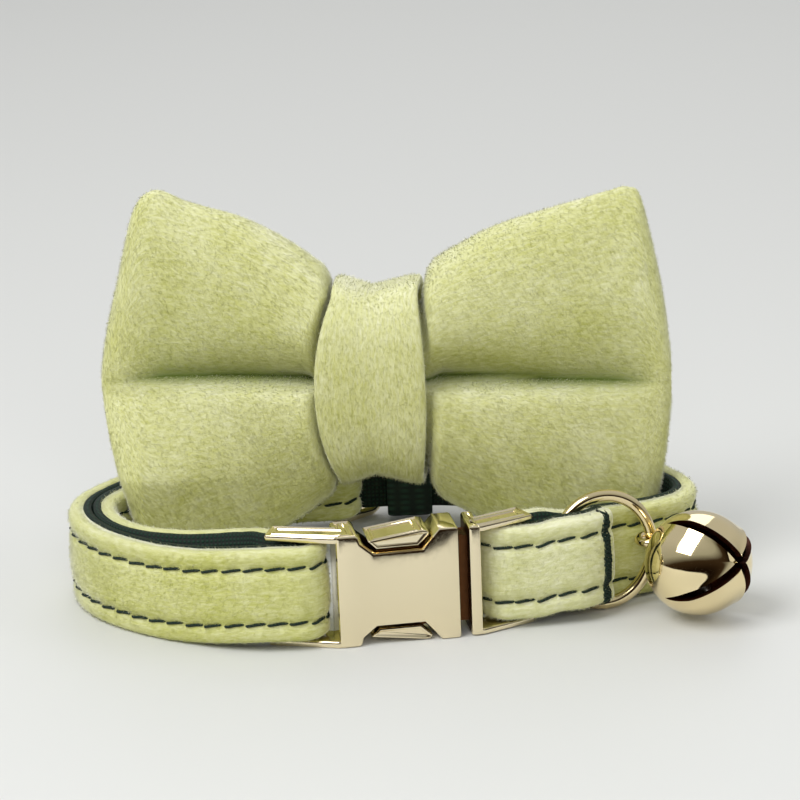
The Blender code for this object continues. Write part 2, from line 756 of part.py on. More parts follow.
def bow_to_collar(points):
    """Turn bow points (along, deep, high about the knot) into the collar."""
    points = pinched(np.asarray(points, float))
    x = BOW_X + points[:, 0] * math.cos(BOW_YAW) - points[:, 1] * math.sin(BOW_YAW)
    y = BOW_Y + points[:, 0] * math.sin(BOW_YAW) + points[:, 1] * math.cos(BOW_YAW)
    return np.column_stack([x, y, BOW_CENTRE_Z + points[:, 2]])


def bow_section(share, height, thick, crease):
    """One closed section of the bow at a share of a wing's length."""
    reach = BOW_LEFT if share < 0.0 else BOW_RIGHT
    up = np.array(BOW_HEIGHT_SHARES)
    up = np.concatenate([up, -up[-2::-1]])
    flat = np.sqrt(np.maximum(0.0, 1.0 - np.abs(up) ** 3.2))
    lobes = flat * (1.0 - crease * np.exp(-(((up - CREASE_PLACE) / CREASE_SPREAD) ** 2)))
    deep = BOW_THICK * thick * lobes
    high = BOW_HALF_HEIGHT * height * up
    front = np.stack([-deep, high], axis=1)
    back = np.stack([deep, high], axis=1)[-2:0:-1]
    ring = np.vstack([front, back])
    left_end = min(1.0, max(0.0, (-share - 0.45) / 0.4))
    low_down = np.clip((-ring[:, 1] - 0.05 * BOW_HALF_HEIGHT) / (0.4 * BOW_HALF_HEIGHT), 0.0, 1.0)
    ring[:, 0] -= LOW_CORNER_PUSH * left_end * low_down
    along = share * reach + LOW_CORNER_TUCK * left_end * low_down
    return np.column_stack([along, ring])


def make_bow(velvet):
    """The padded bow: sections from the left wing's end to the right one's."""
    sections = [bow_section(*row) for row in BOW_ROWS]
    sides = len(sections[0])
    vertices = bow_to_collar(np.vstack(sections))
    faces = []
    for station in range(len(sections) - 1):
        for side in range(sides):
            here = station * sides + side
            beside = station * sides + (side + 1) % sides
            faces.append((here, beside, beside + sides, here + sides))
    faces.append(tuple(range(sides)))
    last = (len(sections) - 1) * sides
    faces.append(tuple(range(last + sides - 1, last - 1, -1)))
    return new_object("bow_body", vertices, faces, velvet)


def knot_ring(along, inset):
    """One closed section of the knot band, set in by a depth."""
    spread = abs(along) / (KNOT_WIDTH / 2)
    high = KNOT_HALF_HEIGHT + KNOT_FLARE * spread - inset
    deep = KNOT_HALF_DEPTH + 0.25 * KNOT_FLARE * spread - inset
    turns = 2 * np.pi * np.arange(24) / 24
    cosine = np.cos(turns)
    sine = np.sin(turns)
    y = deep * np.sign(cosine) * np.abs(cosine) ** 0.6
    z = high * np.sign(sine) * np.abs(sine) ** 0.6
    return np.column_stack([np.full(24, along), y, z])


def make_knot(velvet):
    """The band round the bow's waist."""
    half = KNOT_WIDTH / 2
    shares = (-1.0, -0.55, 0.0, 0.55, 1.0)
    outside = [knot_ring(share * half, 0.0) for share in shares]
    inside = [knot_ring(share * half, KNOT_WALL) for share in reversed(shares)]
    rounds = outside + inside
    vertices = bow_to_collar(np.vstack(rounds))
    faces = []
    count = len(rounds)
    for step in range(count):
        for side in range(24):
            here = step * 24 + side
            beside = step * 24 + (side + 1) % 24
            there = (step + 1) % count * 24
            faces.append((here, beside, there + (side + 1) % 24, there + side))
    return new_object("bow_knot", vertices, faces, velvet)


def make_elastic(elastic):
    """The plain loop from the knot's back round the strap."""
    middle = LOOP_ROWS[BACK_MIDDLE_ROW]
    strap_outer = middle[1] * LOOP_DEPTH
    strap_low = middle[2] * STRAP_LIFT
    strap_inner = strap_outer - LAYER_THICK
    knot_back = BOW_Y + KNOT_HALF_DEPTH
    room = PIECE_GAP + 0.5 * ELASTIC_THICK
    low = strap_low - room
    high = strap_low + STRAP_WIDTH + room
    span = strap_inner - knot_back
    rise = ELASTIC_RISE
    rows = [
        (knot_back + 2.2 * room, high + rise),
        (knot_back + 1.8 * room, high + 0.69 * rise),
        (knot_back + 0.35 * span, high + 0.23 * rise),
        (strap_inner - 2.2 * room, high - 0.12 * rise),
        (strap_inner - 1.4 * room, high - 0.31 * rise),
        (strap_inner - 1.4 * room, low + 0.18 * rise),
        (strap_inner - room, low + 0.03 * rise),
        (strap_inner + 0.2 * LAYER_THICK, low - 0.02 * rise),
        (strap_outer - 0.2 * LAYER_THICK, low - 0.02 * rise),
        (strap_outer + room, low + 0.03 * rise),
        (strap_outer + 1.4 * room, low + 0.18 * rise),
        (strap_outer + 1.5 * room, high - 0.15 * rise),
        (strap_outer + 0.6 * room, high + 0.04 * rise),
        (strap_inner - 0.6 * room, high + 0.18 * rise),
        (knot_back + 0.5 * span, high + 0.58 * rise),
        (knot_back + 0.22 * span, high + 0.92 * rise),
    ]
    centres = np.array(rows)
    closed = np.vstack([centres[-2:], centres, centres[:2]])
    curve = smooth_curve(closed, TRAVEL_STEP)
    begin = np.argmin(np.linalg.norm(curve - centres[0], axis=1))
    stop = begin + 1 + np.argmin(np.linalg.norm(curve[begin + 1:] - centres[0], axis=1))
    curve = curve[begin:stop]
    along = np.roll(curve, -1, axis=0) - np.roll(curve, 1, axis=0)
    along /= np.linalg.norm(along, axis=1)[:, None]
    normal = np.stack([-along[:, 1], along[:, 0]], axis=1) * 0.5 * ELASTIC_THICK
    left = ELASTIC_X - ELASTIC_WIDTH / 2
    right = ELASTIC_X + ELASTIC_WIDTH / 2
    rings = []
    for x, sign in ((left, 1), (right, 1), (right, -1), (left, -1)):
        plan = curve + sign * normal
        rings.append(np.column_stack([np.full(len(plan), x), plan]))
    vertices = np.stack(rings, axis=1).reshape(-1, 3)
    faces = []
    count = len(curve)
    for step in range(count):
        for side in range(4):
            here = step * 4 + side
            beside = step * 4 + (side + 1) % 4
            there = (step + 1) % count * 4
            faces.append((here, beside, there + (side + 1) % 4, there + side))
    return new_object("bow_elastic", vertices, faces, elastic)


def build():
    """Make every piece and set the origin under the collar's middle."""
    clear_scene()
    velvet = principled("velvet", (0.60, 0.62, 0.24), 0.0, 0.85)
    lining = principled("webbing", (0.01, 0.045, 0.03), 0.0, 0.8)
    elastic = principled("elastic", (0.012, 0.03, 0.022), 0.0, 0.8)
    gold = principled("gold", (0.83, 0.66, 0.36), 1.0, 0.2)
    far = VELVET_THICK + PIECE_GAP
    path = strap_path()
    strip("strap_velvet", path, 0.0, VELVET_THICK, VELVET_EDGE, velvet)
    strip("strap_lining", path, far, far + LINING_THICK, 0.0, lining)
    path = tab_path()
    strip("tab_velvet", path, 0.0, VELVET_THICK, VELVET_EDGE, velvet)
    strip("tab_lining", path, far, far + LINING_THICK, 0.0, lining)
    make_housing(gold)
    make_latch(gold)
    make_ring(gold)
    make_bell(gold)
    make_pellet(gold)
    make_slider(gold)
    make_bow(velvet)
    make_knot(velvet)
    make_elastic(elastic)
    for obj in bpy.data.objects:
        obj.location.x += PLAN_SHIFT_X
        obj.location.y += PLAN_SHIFT_Y


build()
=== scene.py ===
# %% [markdown]
# This lesson dresses a small pet collar: a velvet strap with a dark webbing lining, a gold-plated
# buckle, a ring with a bell, a slider, and a padded velvet bow. The shapes with a real size come
# from a CAD model. Everything soft or finely finished is drawn here, over the same places.

import math

import bmesh
import bpy
import numpy as np
from mathutils import Matrix, Vector


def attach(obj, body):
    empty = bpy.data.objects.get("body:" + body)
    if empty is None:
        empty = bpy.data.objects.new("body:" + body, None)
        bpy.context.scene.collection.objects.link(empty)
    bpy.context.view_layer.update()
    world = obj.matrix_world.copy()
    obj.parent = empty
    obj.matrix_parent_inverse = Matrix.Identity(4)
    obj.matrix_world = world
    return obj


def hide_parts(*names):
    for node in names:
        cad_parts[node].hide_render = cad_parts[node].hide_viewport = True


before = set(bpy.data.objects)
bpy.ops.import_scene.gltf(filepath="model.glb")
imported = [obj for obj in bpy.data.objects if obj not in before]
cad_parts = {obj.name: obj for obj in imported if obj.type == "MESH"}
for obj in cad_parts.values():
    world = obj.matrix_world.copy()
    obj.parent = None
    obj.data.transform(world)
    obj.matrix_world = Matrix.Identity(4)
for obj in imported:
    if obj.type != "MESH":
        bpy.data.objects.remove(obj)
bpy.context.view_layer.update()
MM = 0.001
SHIFT = np.array([0.25, 0.84, 0.0]) * MM


def placed(name, data):
    """A new object of a mesh, lamp or camera, linked to the scene."""
    made = bpy.data.objects.new(name, data)
    bpy.context.scene.collection.objects.link(made)
    return made


# %% [markdown]
# The photograph was taken a little above the table, about 17 degrees down, with a long lens.
# A camera is three directions and a place: its own right, up and back axes are the columns of its
# matrix. The picture leans by two degrees, so right and up are turned about the line of sight.

# %% Camera
LENS_PITCH = math.radians(17.0)
LENS_ROLL = math.radians(2.2)
LENS_DISTANCE = 0.396
LENS_MM = 141.3
SENSOR_MM = 36.0
LENS_TARGET = np.array([0.0, 0.0, 23.2]) * MM + SHIFT

sight = np.array([0.0, math.cos(LENS_PITCH), -math.sin(LENS_PITCH)])
level_right = np.array([1.0, 0.0, 0.0])
level_up = np.array([0.0, math.sin(LENS_PITCH), math.cos(LENS_PITCH)])
lens_right = level_right * math.cos(LENS_ROLL) - level_up * math.sin(LENS_ROLL)
lens_up = level_right * math.sin(LENS_ROLL) + level_up * math.cos(LENS_ROLL)
eye = LENS_TARGET - LENS_DISTANCE * sight
turn = Matrix(np.column_stack([lens_right, lens_up, -sight]).tolist()).to_4x4()
camera = placed("camera", bpy.data.cameras.new("camera"))
camera.data.lens = LENS_MM
camera.data.sensor_width = SENSOR_MM
camera.data.clip_start = 0.01
camera.matrix_world = Matrix.Translation(Vector(eye)) @ turn
bpy.context.scene.camera = camera
print("camera at", np.round(eye / MM, 1), "mm")

# %% [markdown]
# Colours are picked as the hex values that a picture shows, and turned to the linear light that
# the shaders work in. Small functions add a shader node with its settings and links, a sum or
# product, a noise, and a bump.

# %% Colour and node helpers
def linear(code):
    """sRGB hex to linear RGBA: c / 12.92 below 0.04045, else ((c + 0.055) / 1.055) to the 2.4."""
    parts = np.array([int(code[i:i + 2], 16) for i in (1, 3, 5)]) / 255.0
    light = np.where(parts < 0.04045, parts / 12.92, ((parts + 0.055) / 1.055) ** 2.4)
    return (*light.tolist(), 1.0)


def node(tree, kind, links=None, values=None, **settings):
    """Add a node, set its properties and socket values, and link outputs into its sockets."""
    made = tree.nodes.new(kind)
    for key, value in settings.items():
        setattr(made, key, value)
    for key, value in (values or {}).items():
        made.inputs[key].default_value = value
    for key, source in (links or {}).items():
        tree.links.new(source, made.inputs[key])
    return made


def math_of(tree, operation, *inputs):
    """The result of a math node whose inputs are numbers or other nodes' outputs."""
    made = node(tree, "ShaderNodeMath", operation=operation)
    for place, source in enumerate(inputs):
        if isinstance(source, float):
            made.inputs[place].default_value = source
        else:
            tree.links.new(source, made.inputs[place])
    return made.outputs["Value"]


def noise(tree, place, scale, detail, roughness, distortion=0.0):
    """A fractal noise of 0 to 1 over the places given."""
    values = {"Scale": scale, "Detail": detail, "Roughness": roughness, "Distortion": distortion}
    return node(tree, "ShaderNodeTexNoise", {"Vector": place}, values).outputs["Fac"]


def spread_over(tree, value, start, stop, low, high):
    """The value's stretch from start to stop, mapped to low to high."""
    limits = {"From Min": start, "From Max": stop, "To Min": low, "To Max": high}
    return node(tree, "ShaderNodeMapRange", {"Value": value}, limits).outputs["Result"]


def relief(tree, shader, height, strength, depth):
    """A bump on the shader's normal, from a height of 0 to 1 that stands for a depth."""
    bump = node(tree, "ShaderNodeBump", {"Height": height}, {"Strength": strength, "Distance": depth})
    tree.links.new(bump.outputs["Normal"], shader.inputs["Normal"])


def look(shader, **values):
    """Set the shader's inputs by name, with _ for each space."""
    for key, value in values.items():
        shader.inputs[key.replace("_", " ")].default_value = value


def blank(name):
    """A new material: its node tree and its Principled shader."""
    material = bpy.data.materials.new(name)
    material.use_nodes = True
    return material, material.node_tree, material.node_tree.nodes["Principled BSDF"]


def stops(ramp, rows):
    """Set a colour ramp's stops from (place, hex) rows."""
    while len(ramp.elements) < len(rows):
        ramp.elements.new(0.5)
    for element, (place, code) in zip(ramp.elements, rows):
        element.position = place
        element.color = linear(code)


print("helpers ready")

# %% [markdown]
# Velvet is a woven ground with a dense pile of cut fibres. The fibres lie over in one direction,
# so the surface shows short soft streaks, darker where you look down between the fibres and
# bright at grazing edges, where many tips catch the light: the sheen. The streaks are about 1 mm
# long. Every cloth piece carries a UV map in millimetres, so that a scale can be read as mm.

# %% Velvet
STREAK_MM = 0.9
STREAK_WIDE_MM = 0.24
BRUISE_MM = 7.0
BRUISE_SHARE = 0.55
VELVET_TONES = [
    (0.24, "#A6AA4A"), (0.36, "#BEC06B"), (0.48, "#D1D290"), (0.58, "#DBDCA6"), (0.72, "#EAEAC8"),
]
# the dark green of the painted shade in the bow's crease
CREASE_SHADE_TONE = "#485C0C"


def velvet(name, painted_brightness=0.0):
    """Streaks along the pile over soft patches; paler where the face looks up as painted light, and darker
    in the bow's crease as painted shade.
    """
    material, tree, shader = blank(name)
    place = node(tree, "ShaderNodeTexCoord").outputs["UV"]
    scale = (1.0 / STREAK_MM, 1.0 / STREAK_WIDE_MM, 1.0)
    stretched = node(tree, "ShaderNodeMapping", {"Vector": place}, {"Scale": scale})
    streak = noise(tree, stretched.outputs["Vector"], 0.75, 4.0, 0.62, 0.6)
    bruise = noise(tree, place, 1.0 / BRUISE_MM, 2.5, 0.5, 0.4)
    bruise = math_of(tree, "MULTIPLY_ADD", bruise, BRUISE_SHARE, (1.0 - BRUISE_SHARE) / 2)
    patchy = math_of(tree, "ADD", streak, bruise)
    # Painted light: each copy of the velvet is made lighter or darker as a whole by this amount.
    patchy = math_of(tree, "MULTIPLY_ADD", patchy, 0.5, painted_brightness)
    # Painted light: faces that look up get a paler tone and faces that look down a deeper one, as under a
    # lamp from above.
    facing = node(tree, "ShaderNodeNewGeometry").outputs["Normal"]
    upward_for_painted_light = node(tree, "ShaderNodeSeparateXYZ", {"Vector": facing}).outputs["Z"]
    level = math_of(tree, "ADD", patchy, spread_over(tree, upward_for_painted_light, -0.6, 0.8, -0.08, 0.10))
    tones = node(tree, "ShaderNodeValToRGB", {"Fac": level})
    stops(tones.color_ramp, VELVET_TONES)
    # Painted shade: the stored crease-shade attribute mixes a dark green into the colour where the bow's
    # lobes fold in.
    fold_and_crease_shade = node(tree, "ShaderNodeAttribute", attribute_name="fold_and_crease_shade")
    deep = node(
        tree,
        "ShaderNodeMixRGB",
        {"Fac": fold_and_crease_shade.outputs["Fac"], "Color1": tones.outputs["Color"]},
        {"Color2": linear(CREASE_SHADE_TONE)},
    )
    tree.links.new(deep.outputs["Color"], shader.inputs["Base Color"])
    relief(tree, shader, streak, 0.35, 0.12 * MM)
    look(shader, Roughness=0.88, Specular_IOR_Level=0.2)
    look(shader, Sheen_Weight=1.0, Sheen_Roughness=0.38, Sheen_Tint=linear("#FAFAEA"))
    return material


# Painted light and shade: one velvet in lit and shaded copies, the tab's brighter, the knot's a little
# brighter, the strap's darker.
velvet_strap = velvet("pale green velvet, strap", -0.05)
velvet_tab = velvet("pale green velvet, tab", 0.10)
velvet_wing = velvet("pale green velvet, bow")
velvet_knot = velvet("pale green velvet, knot", 0.02)
print("velvet streaks", STREAK_MM, "by", STREAK_WIDE_MM, "mm")

# %% [markdown]
# The lining is a dark green nylon webbing: flat threads crossing, which give a small checked
# relief and hardly any gloss. Two wave textures at a right angle make the crossing threads. The
# sewing thread has the same colour, and its waves are close together, like a twist.

# %% Webbing, thread and elastic
THREAD_PITCH_MM = 0.55
TWIST_MM = 0.3


def woven(name, low, high, across, pitch, depth):
    """Two sets of waves, one each way, multiplied into a crossing of threads."""
    material, tree, shader = blank(name)
    place = node(tree, "ShaderNodeTexCoord").outputs["UV"]
    waves = []
    for direction, spacing in (("X", pitch), ("Y", pitch * across)):
        wave = node(
            tree,
            "ShaderNodeTexWave",
            {"Vector": place},
            {"Scale": 2.0 * math.pi / 20.0 / spacing, "Distortion": 0.5, "Detail": 1.0},
            wave_type="BANDS",
            bands_direction=direction,
        )
        waves.append(wave.outputs["Fac"])
    cross = math_of(tree, "MULTIPLY", *waves)
    tones = node(tree, "ShaderNodeValToRGB", {"Fac": cross})
    stops(tones.color_ramp, [(0.0, low), (0.8, high)])
    tree.links.new(tones.outputs["Color"], shader.inputs["Base Color"])
    relief(tree, shader, cross, 0.8, depth * MM)
    look(shader, Roughness=0.75, Sheen_Weight=0.04, Sheen_Tint=linear("#4C7A63"))
    return material


webbing = woven("dark green nylon webbing", "#03140C", "#0C3322", 1.0, THREAD_PITCH_MM, 0.12)
elastic = woven("dark green rubber elastic", "#0A1C15", "#1C3A2C", 2.5, 0.8, 0.1)
thread = woven("dark green polyester thread", "#020F09", "#0B2C1D", 3.0, TWIST_MM, 0.05)
print("webbing threads every", THREAD_PITCH_MM, "mm")

# %% [markdown]
# The metal parts are cast zinc alloy with a thin bright plating of pale gold. Plating is smooth
# and mirror-like, with a faint waviness from the polishing, so its look is nearly all reflection:
# cream where it mirrors the table, brown-black where it mirrors the dark of the room.

# %% Gold plating
POLISH_WAVE_MM = 2.5
RUB_MM = 0.7


def plated(name, code, rough, wave):
    """A metal whose roughness and bump follow two faint noises in object space."""
    material, tree, shader = blank(name)
    place = node(tree, "ShaderNodeTexCoord").outputs["Object"]
    ripple = noise(tree, place, 1.0 / (POLISH_WAVE_MM * MM), 2.0, 0.45)
    rub = noise(tree, place, 1.0 / (RUB_MM * MM), 5.0, 0.7)
    rubbed = spread_over(tree, rub, 0.3, 0.75, rough * 0.75, rough * 1.5)
    tree.links.new(rubbed, shader.inputs["Roughness"])
    relief(tree, shader, ripple, wave, 0.06 * MM)
    look(shader, Base_Color=linear(code), Metallic=1.0)
    return material


gold = plated("pale gold plated zinc", "#F3E6C4", 0.12, 0.22)
bright_gold = plated("pale gold plated brass", "#F0DFB2", 0.06, 0.30)
steel = plated("plain steel", "#8E8A84", 0.3, 0.4)
# Painted shade: a dark brown-gold for the recessed faces in the buckle's slot.
shaded_gold = plated("painted shade on the plating in the buckle's slot", "#5A3A22", 0.35, 0.3)
# Painted shade: a dark, rougher brown-gold for the inside of the bell and the edges of its slits.
bell_inside_shade = plated("painted shade inside the bell", "#5B2E1C", 0.45, 0.3)
print("plating ripple every", POLISH_WAVE_MM, "mm")

# %% [markdown]
# Most pieces here are surfaces: a grid of points worked out from two parameters. This helper
# turns such a grid into a mesh. A direction that runs round on itself is closed by joining the
# last row to the first, and the UV map keeps true millimetres by not jumping back at that seam.

# %% Grid helpers
def unit(vectors):
    """The vectors over their own lengths."""
    return vectors / np.linalg.norm(vectors, axis=-1, keepdims=True)


def turns(count):
    """Equal steps once round: 2 pi times 0 to count - 1, over count."""
    return 2 * np.pi * np.arange(count) / count


def signed_power(values, power):
    """|value|^power with the value's sign: it squares a sine's round, or sharpens it."""
    return np.sign(values) * np.abs(values) ** power


def lengths(points, axis):
    """Distance travelled along one direction of the grid, from its start, averaged over the other."""
    steps = np.linalg.norm(np.diff(points, axis=axis), axis=2).mean(axis=1 - axis)
    return np.concatenate([[0.0], np.cumsum(steps)])


def turned_out(mesh):
    """Turn all faces to look out."""
    shell = bmesh.new()
    shell.from_mesh(mesh)
    bmesh.ops.recalc_face_normals(shell, faces=shell.faces)
    shell.to_mesh(mesh)
    shell.free()


def smooth_piece(name, mesh, *materials):
    """The mesh as a smooth object with its materials."""
    for material in materials:
        mesh.materials.append(material)
    mesh.polygons.foreach_set("use_smooth", [True] * len(mesh.polygons))
    return placed(name, mesh)


def lay_uv(mesh, spots):
    """The UV map, from a place in millimetres for every face corner."""
    mesh.uv_layers.new(name="UVMap").data.foreach_set("uv", spots.astype(np.float32).ravel())


def surface(name, points, material, ring_u=False, ring_v=False, ends=False, turn_out=True):
    """Mesh of a (u, v) grid; faces join neighbours, and modulo joins the rows of a ring."""
    rows, columns = points.shape[:2]
    u = np.arange(rows if ring_u else rows - 1)[:, None]
    v = np.arange(columns if ring_v else columns - 1)[None, :]
    corners = [(u, v), (u, v + 1), (u + 1, v + 1), (u + 1, v)]
    quads = np.stack([(a % rows) * columns + b % columns for a, b in corners], axis=-1).reshape(-1, 4)
    along = lengths(points if not ring_u else np.concatenate([points, points[:1]]), 0)
    around = lengths(points if not ring_v else np.concatenate([points, points[:, :1]], 1), 1)
    maps = np.stack([np.stack([along[a + 0 * b], around[b + 0 * a]], -1) for a, b in corners], axis=-2)
    faces = quads.tolist()
    loops = maps.reshape(-1, 2) / MM
    if ends:
        faces.append(list(range(columns)))
        faces.append(list(range(rows * columns - 1, (rows - 1) * columns - 1, -1)))
        loops = np.vstack([loops, np.zeros((2 * columns, 2))])
    mesh = bpy.data.meshes.new(name)
    mesh.from_pydata(points.reshape(-1, 3).tolist(), [], faces)
    lay_uv(mesh, loops)
    if turn_out:
        turned_out(mesh)
    return smooth_piece(name, mesh, material)


def store_crease_shade(mesh, values):
    """How strongly the painted crease shade darkens each point, 0 to 1, as the attribute that the velvet
    reads.
    """
    fold_and_crease_shade = mesh.attributes.new("fold_and_crease_shade", "FLOAT", "POINT")
    fold_and_crease_shade.data.foreach_set("value", values.astype(np.float32).ravel())


def stand_for(piece, slot, *nodes):
    """The piece rides on the collar and stands for CAD nodes; its slot is not used."""
    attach(piece, "root")
    if nodes:
        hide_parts(*nodes)
    triangles = sum(len(p.vertices) - 2 for p in piece.data.polygons)
    print(piece.name, triangles, "triangles")
    return piece


# %% [markdown]
# The strap runs from under the short tab at the right, round the back, through the slider and
# round the left end to the buckle. There it wraps the buckle's bar and comes back as an inner
# layer. Its route on the table is a smooth curve through a few bends, drawn with a spline whose
# spacing follows the square root of the distances, so it never overshoots a tight turn.

# %% The strap's route
LOOP_SIZE = np.array([78.2, 48.6, 1.2]) * MM
VELVET = 1.5 * MM
LINING = 1.0 * MM
GAP = 0.3 * MM
LAYER = VELVET + GAP + LINING
STRAP_WIDTH = 11.8 * MM
HOUSING_ARM = np.array([8.9, 8.9, 1.2]) * MM
LATCH_ARM = np.array([7.4, 7.4, 1.2]) * MM
FLOOR_GAP = 0.03 * MM

# x share of the loop's width, y share of its depth, lift share
LOOP_ROWS = np.array([
    (0.4540, -0.1523, 0.04), (0.4706, -0.0905, 0.04), (0.4668, -0.0180, 0.04), (0.4450, 0.0617, 0.08),
    (0.3964, 0.1749, 0.33), (0.3197, 0.2942, 0.75), (0.2302, 0.3951, 1.17), (0.1279, 0.4588, 1.50),
    (0.0256, 0.4774, 1.67), (-0.1023, 0.4712, 1.67), (-0.2366, 0.4250, 1.45), (-0.3555, 0.3290, 0.80),
    (-0.4450, 0.2120, 0.30), (-0.5026, 0.1193, 0.06), (-0.5332, 0.0288, 0.04), (-0.5409, -0.0617, 0.04),
    (-0.5281, -0.1646, 0.04), (-0.4923, -0.2716, 0.04), (-0.4463, -0.3519, 0.04), (-0.3913, -0.4198, 0.04),
])
# to the right of a buckle bar and behind it, in shares of its arm, and the lift share
START_ROWS = np.array([
    (1.1811, 0.4432, 0.40), (1.7349, 0.5877, 0.38), (2.3837, 0.8557, 0.25), (2.7895, 1.1256, 0.12),
])
END_ROWS = np.array([
    (-1.4718, -0.0287, 0.25), (-1.0113, -0.2591, 0.65), (-0.6405, -0.3710, 0.90), (-0.4042, -0.4044, 1.00),
])
TAB_BACK_ROWS = np.array([
    (1.0323, 0.8014, 0.30), (0.7890, 0.7473, 0.50), (0.5323, 0.6730, 0.88), (0.2620, 0.5716, 1.00),
])
TAB_FRONT_ROWS = np.array([
    (0.4784, -0.4533, 1.00), (0.8165, -0.4204, 1.45), (1.2752, -0.3285, 1.55), (1.7211, 0.0065, 1.55),
])
# spacing of the inner layer, in shares of two layers and a gap, from the buckle on
RETURN_SHARES = (1.42, 1.58, 1.70, 1.68, 1.42, 1.14, 1.03, 1.00, 1.00, 1.00, 1.00, 1.00, 1.00, 1.04)


def spline(points, step):
    """Centripetal Catmull-Rom: knots a square root of the distance apart, blended in pairs."""
    ends = np.vstack([2 * points[0] - points[1], points, 2 * points[-1] - points[-2]])
    pieces = []
    for quad in zip(ends[:-3], ends[1:-2], ends[2:-1], ends[3:]):
        gaps = [max(np.linalg.norm((b - a)[:2]), 1e-6) ** 0.5 for a, b in zip(quad[:-1], quad[1:])]
        k = np.concatenate([[0.0], np.cumsum(gaps)])
        count = max(1, int(round(np.linalg.norm((quad[2] - quad[1])[:2]) / step)))
        t = np.linspace(k[1], k[2], count, endpoint=False)[:, None]
        level = [np.broadcast_to(p, (count, 3)) for p in quad]
        for reach in (1, 2, 3):
            for i in range(4 - reach):
                low, high = (k[i], k[i + reach]) if reach < 3 else (k[1], k[2])
                level[i] = ((high - t) * level[i] + (t - low) * level[i + 1]) / (high - low)
        pieces.append(level[0])
    return np.vstack(pieces + [points[-1:]])


def arc(centre, radius, start, sweep, lift, steps):
    """Points on a plan circle: centre plus radius times (cosine, sine)."""
    angles = start + sweep * np.linspace(0.0, 1.0, steps)
    x, y = centre[0] + radius * np.cos(angles), centre[1] + radius * np.sin(angles)
    return np.stack([x, y, np.full(steps, lift)], axis=1)


def plan_left(path):
    """Unit vectors to the left of the way of travel, in plan."""
    way = unit(np.gradient(path[:, :2], axis=0))
    return np.stack([-way[:, 1], way[:, 0]], axis=1)


def even(path, step):
    """The same curve, walked in equal steps of its own length."""
    run = np.concatenate([[0.0], np.cumsum(np.linalg.norm(np.diff(path, axis=0), axis=1))])
    marks = np.linspace(0.0, run[-1], int(run[-1] / step) + 1)
    return np.stack([np.interp(marks, run, path[:, i]) for i in range(3)], axis=1)


BUCKLE_YAW = math.radians(8.5)
ARM_BEND = math.radians(22.0)
BUCKLE_CORNER = np.array([-8.3, -25.8]) * MM
LATCH_LEFT = 17.6 * MM
BAR_REACH = 5.6 * MM
BAR_RADIUS = 0.7 * MM
HOUSING_BAR_BACK = 1.9 * MM
LATCH_BAR_BACK = 2.7 * MM


def in_buckle(u, v):
    """Plan point u along and v into the buckle: the corner plus both, turned by the yaw."""
    cosine, sine = math.cos(BUCKLE_YAW), math.sin(BUCKLE_YAW)
    return BUCKLE_CORNER + np.array([u * cosine - v * sine, u * sine + v * cosine])


def bar_place(start, back, side):
    """A strap bar's centre: out along a bent arm, and set back from its front face."""
    cosine, sine = math.cos(ARM_BEND), math.sin(ARM_BEND)
    out = BAR_REACH * cosine - back * sine
    return in_buckle(start + side * out, BAR_REACH * sine + back * cosine)


def beside(bar, arm, rows):
    """Bends placed from a bar: its plan place plus shares of its arm's length."""
    return np.append(bar, 0.0) + rows * arm


STEP = 0.4 * MM
wrap = BAR_RADIUS + GAP + LAYER
left_bar = bar_place(0.0, HOUSING_BAR_BACK, -1)
right_bar = bar_place(LATCH_LEFT, LATCH_BAR_BACK, 1)
loop = np.vstack([
    beside(right_bar, LATCH_ARM, START_ROWS),
    LOOP_ROWS * LOOP_SIZE,
    beside(left_bar, HOUSING_ARM, END_ROWS),
])
round_bar = arc(left_bar, wrap, BUCKLE_YAW - ARM_BEND - math.pi / 2, math.pi, 1.2 * MM, 9)
inward = plan_left(loop)
returned = np.array([
    (*(loop[-i, :2] + inward[-i] * (2 * LAYER + GAP) * share), loop[-i, 2])
    for i, share in enumerate(RETURN_SHARES, start=1)
])
back_curve = spline(LOOP_ROWS[5:12] * LOOP_SIZE, 2.6 * MM)[::-1]
SLIDER_BAR = 0.7 * MM
SLIDER_WIDTH = 7.7 * MM
SLIDER_MIDDLE = -0.0831 * LOOP_SIZE[0]
slider_in, slider_out = LAYER + GAP + SLIDER_BAR, GAP + SLIDER_BAR
slider_half = 0.5 * math.sqrt(SLIDER_WIDTH**2 - (slider_in + slider_out) ** 2)
slider_x = SLIDER_MIDDLE + np.array([-slider_half, slider_half])
slider_y = np.interp(slider_x, back_curve[:, 0], back_curve[:, 1]) + np.array([-slider_in, slider_out])
SLIDER_ENDS = np.column_stack([slider_x, slider_y])
fold_and_crease_shade = arc(SLIDER_ENDS[0], SLIDER_BAR + GAP + LAYER, -math.pi / 2 - 0.1, math.radians(100.0), 2.0 * MM, 7)
strap_path = even(spline(np.vstack([loop, round_bar, returned, fold_and_crease_shade]), STEP), STEP) + SHIFT
tab_turn = math.radians(25.0)
round_latch = arc(right_bar, wrap, BUCKLE_YAW + ARM_BEND + math.pi / 2 - tab_turn,
                  math.pi - math.radians(15.0) + tab_turn, 1.2 * MM, 9)
tab_path = np.vstack([
    beside(right_bar, LATCH_ARM, TAB_BACK_ROWS),
    round_latch,
    beside(right_bar, LATCH_ARM, TAB_FRONT_ROWS),
])
tab_path = even(spline(tab_path, STEP), STEP) + SHIFT
strap_long = STEP * (len(strap_path) - 1)
tab_long = STEP * (len(tab_path) - 1)
print("strap", round(strap_long / MM), "mm, tab", round(tab_long / MM), "mm")

# %% [markdown]
# A velvet band is a profile carried along that route. Across its width the face is slightly
# crowned, it sinks at the two rows of stitching and rolls over at both edges. The stitches pull
# the cloth down in steps, so the groove is a little deeper in the middle of each stitch.

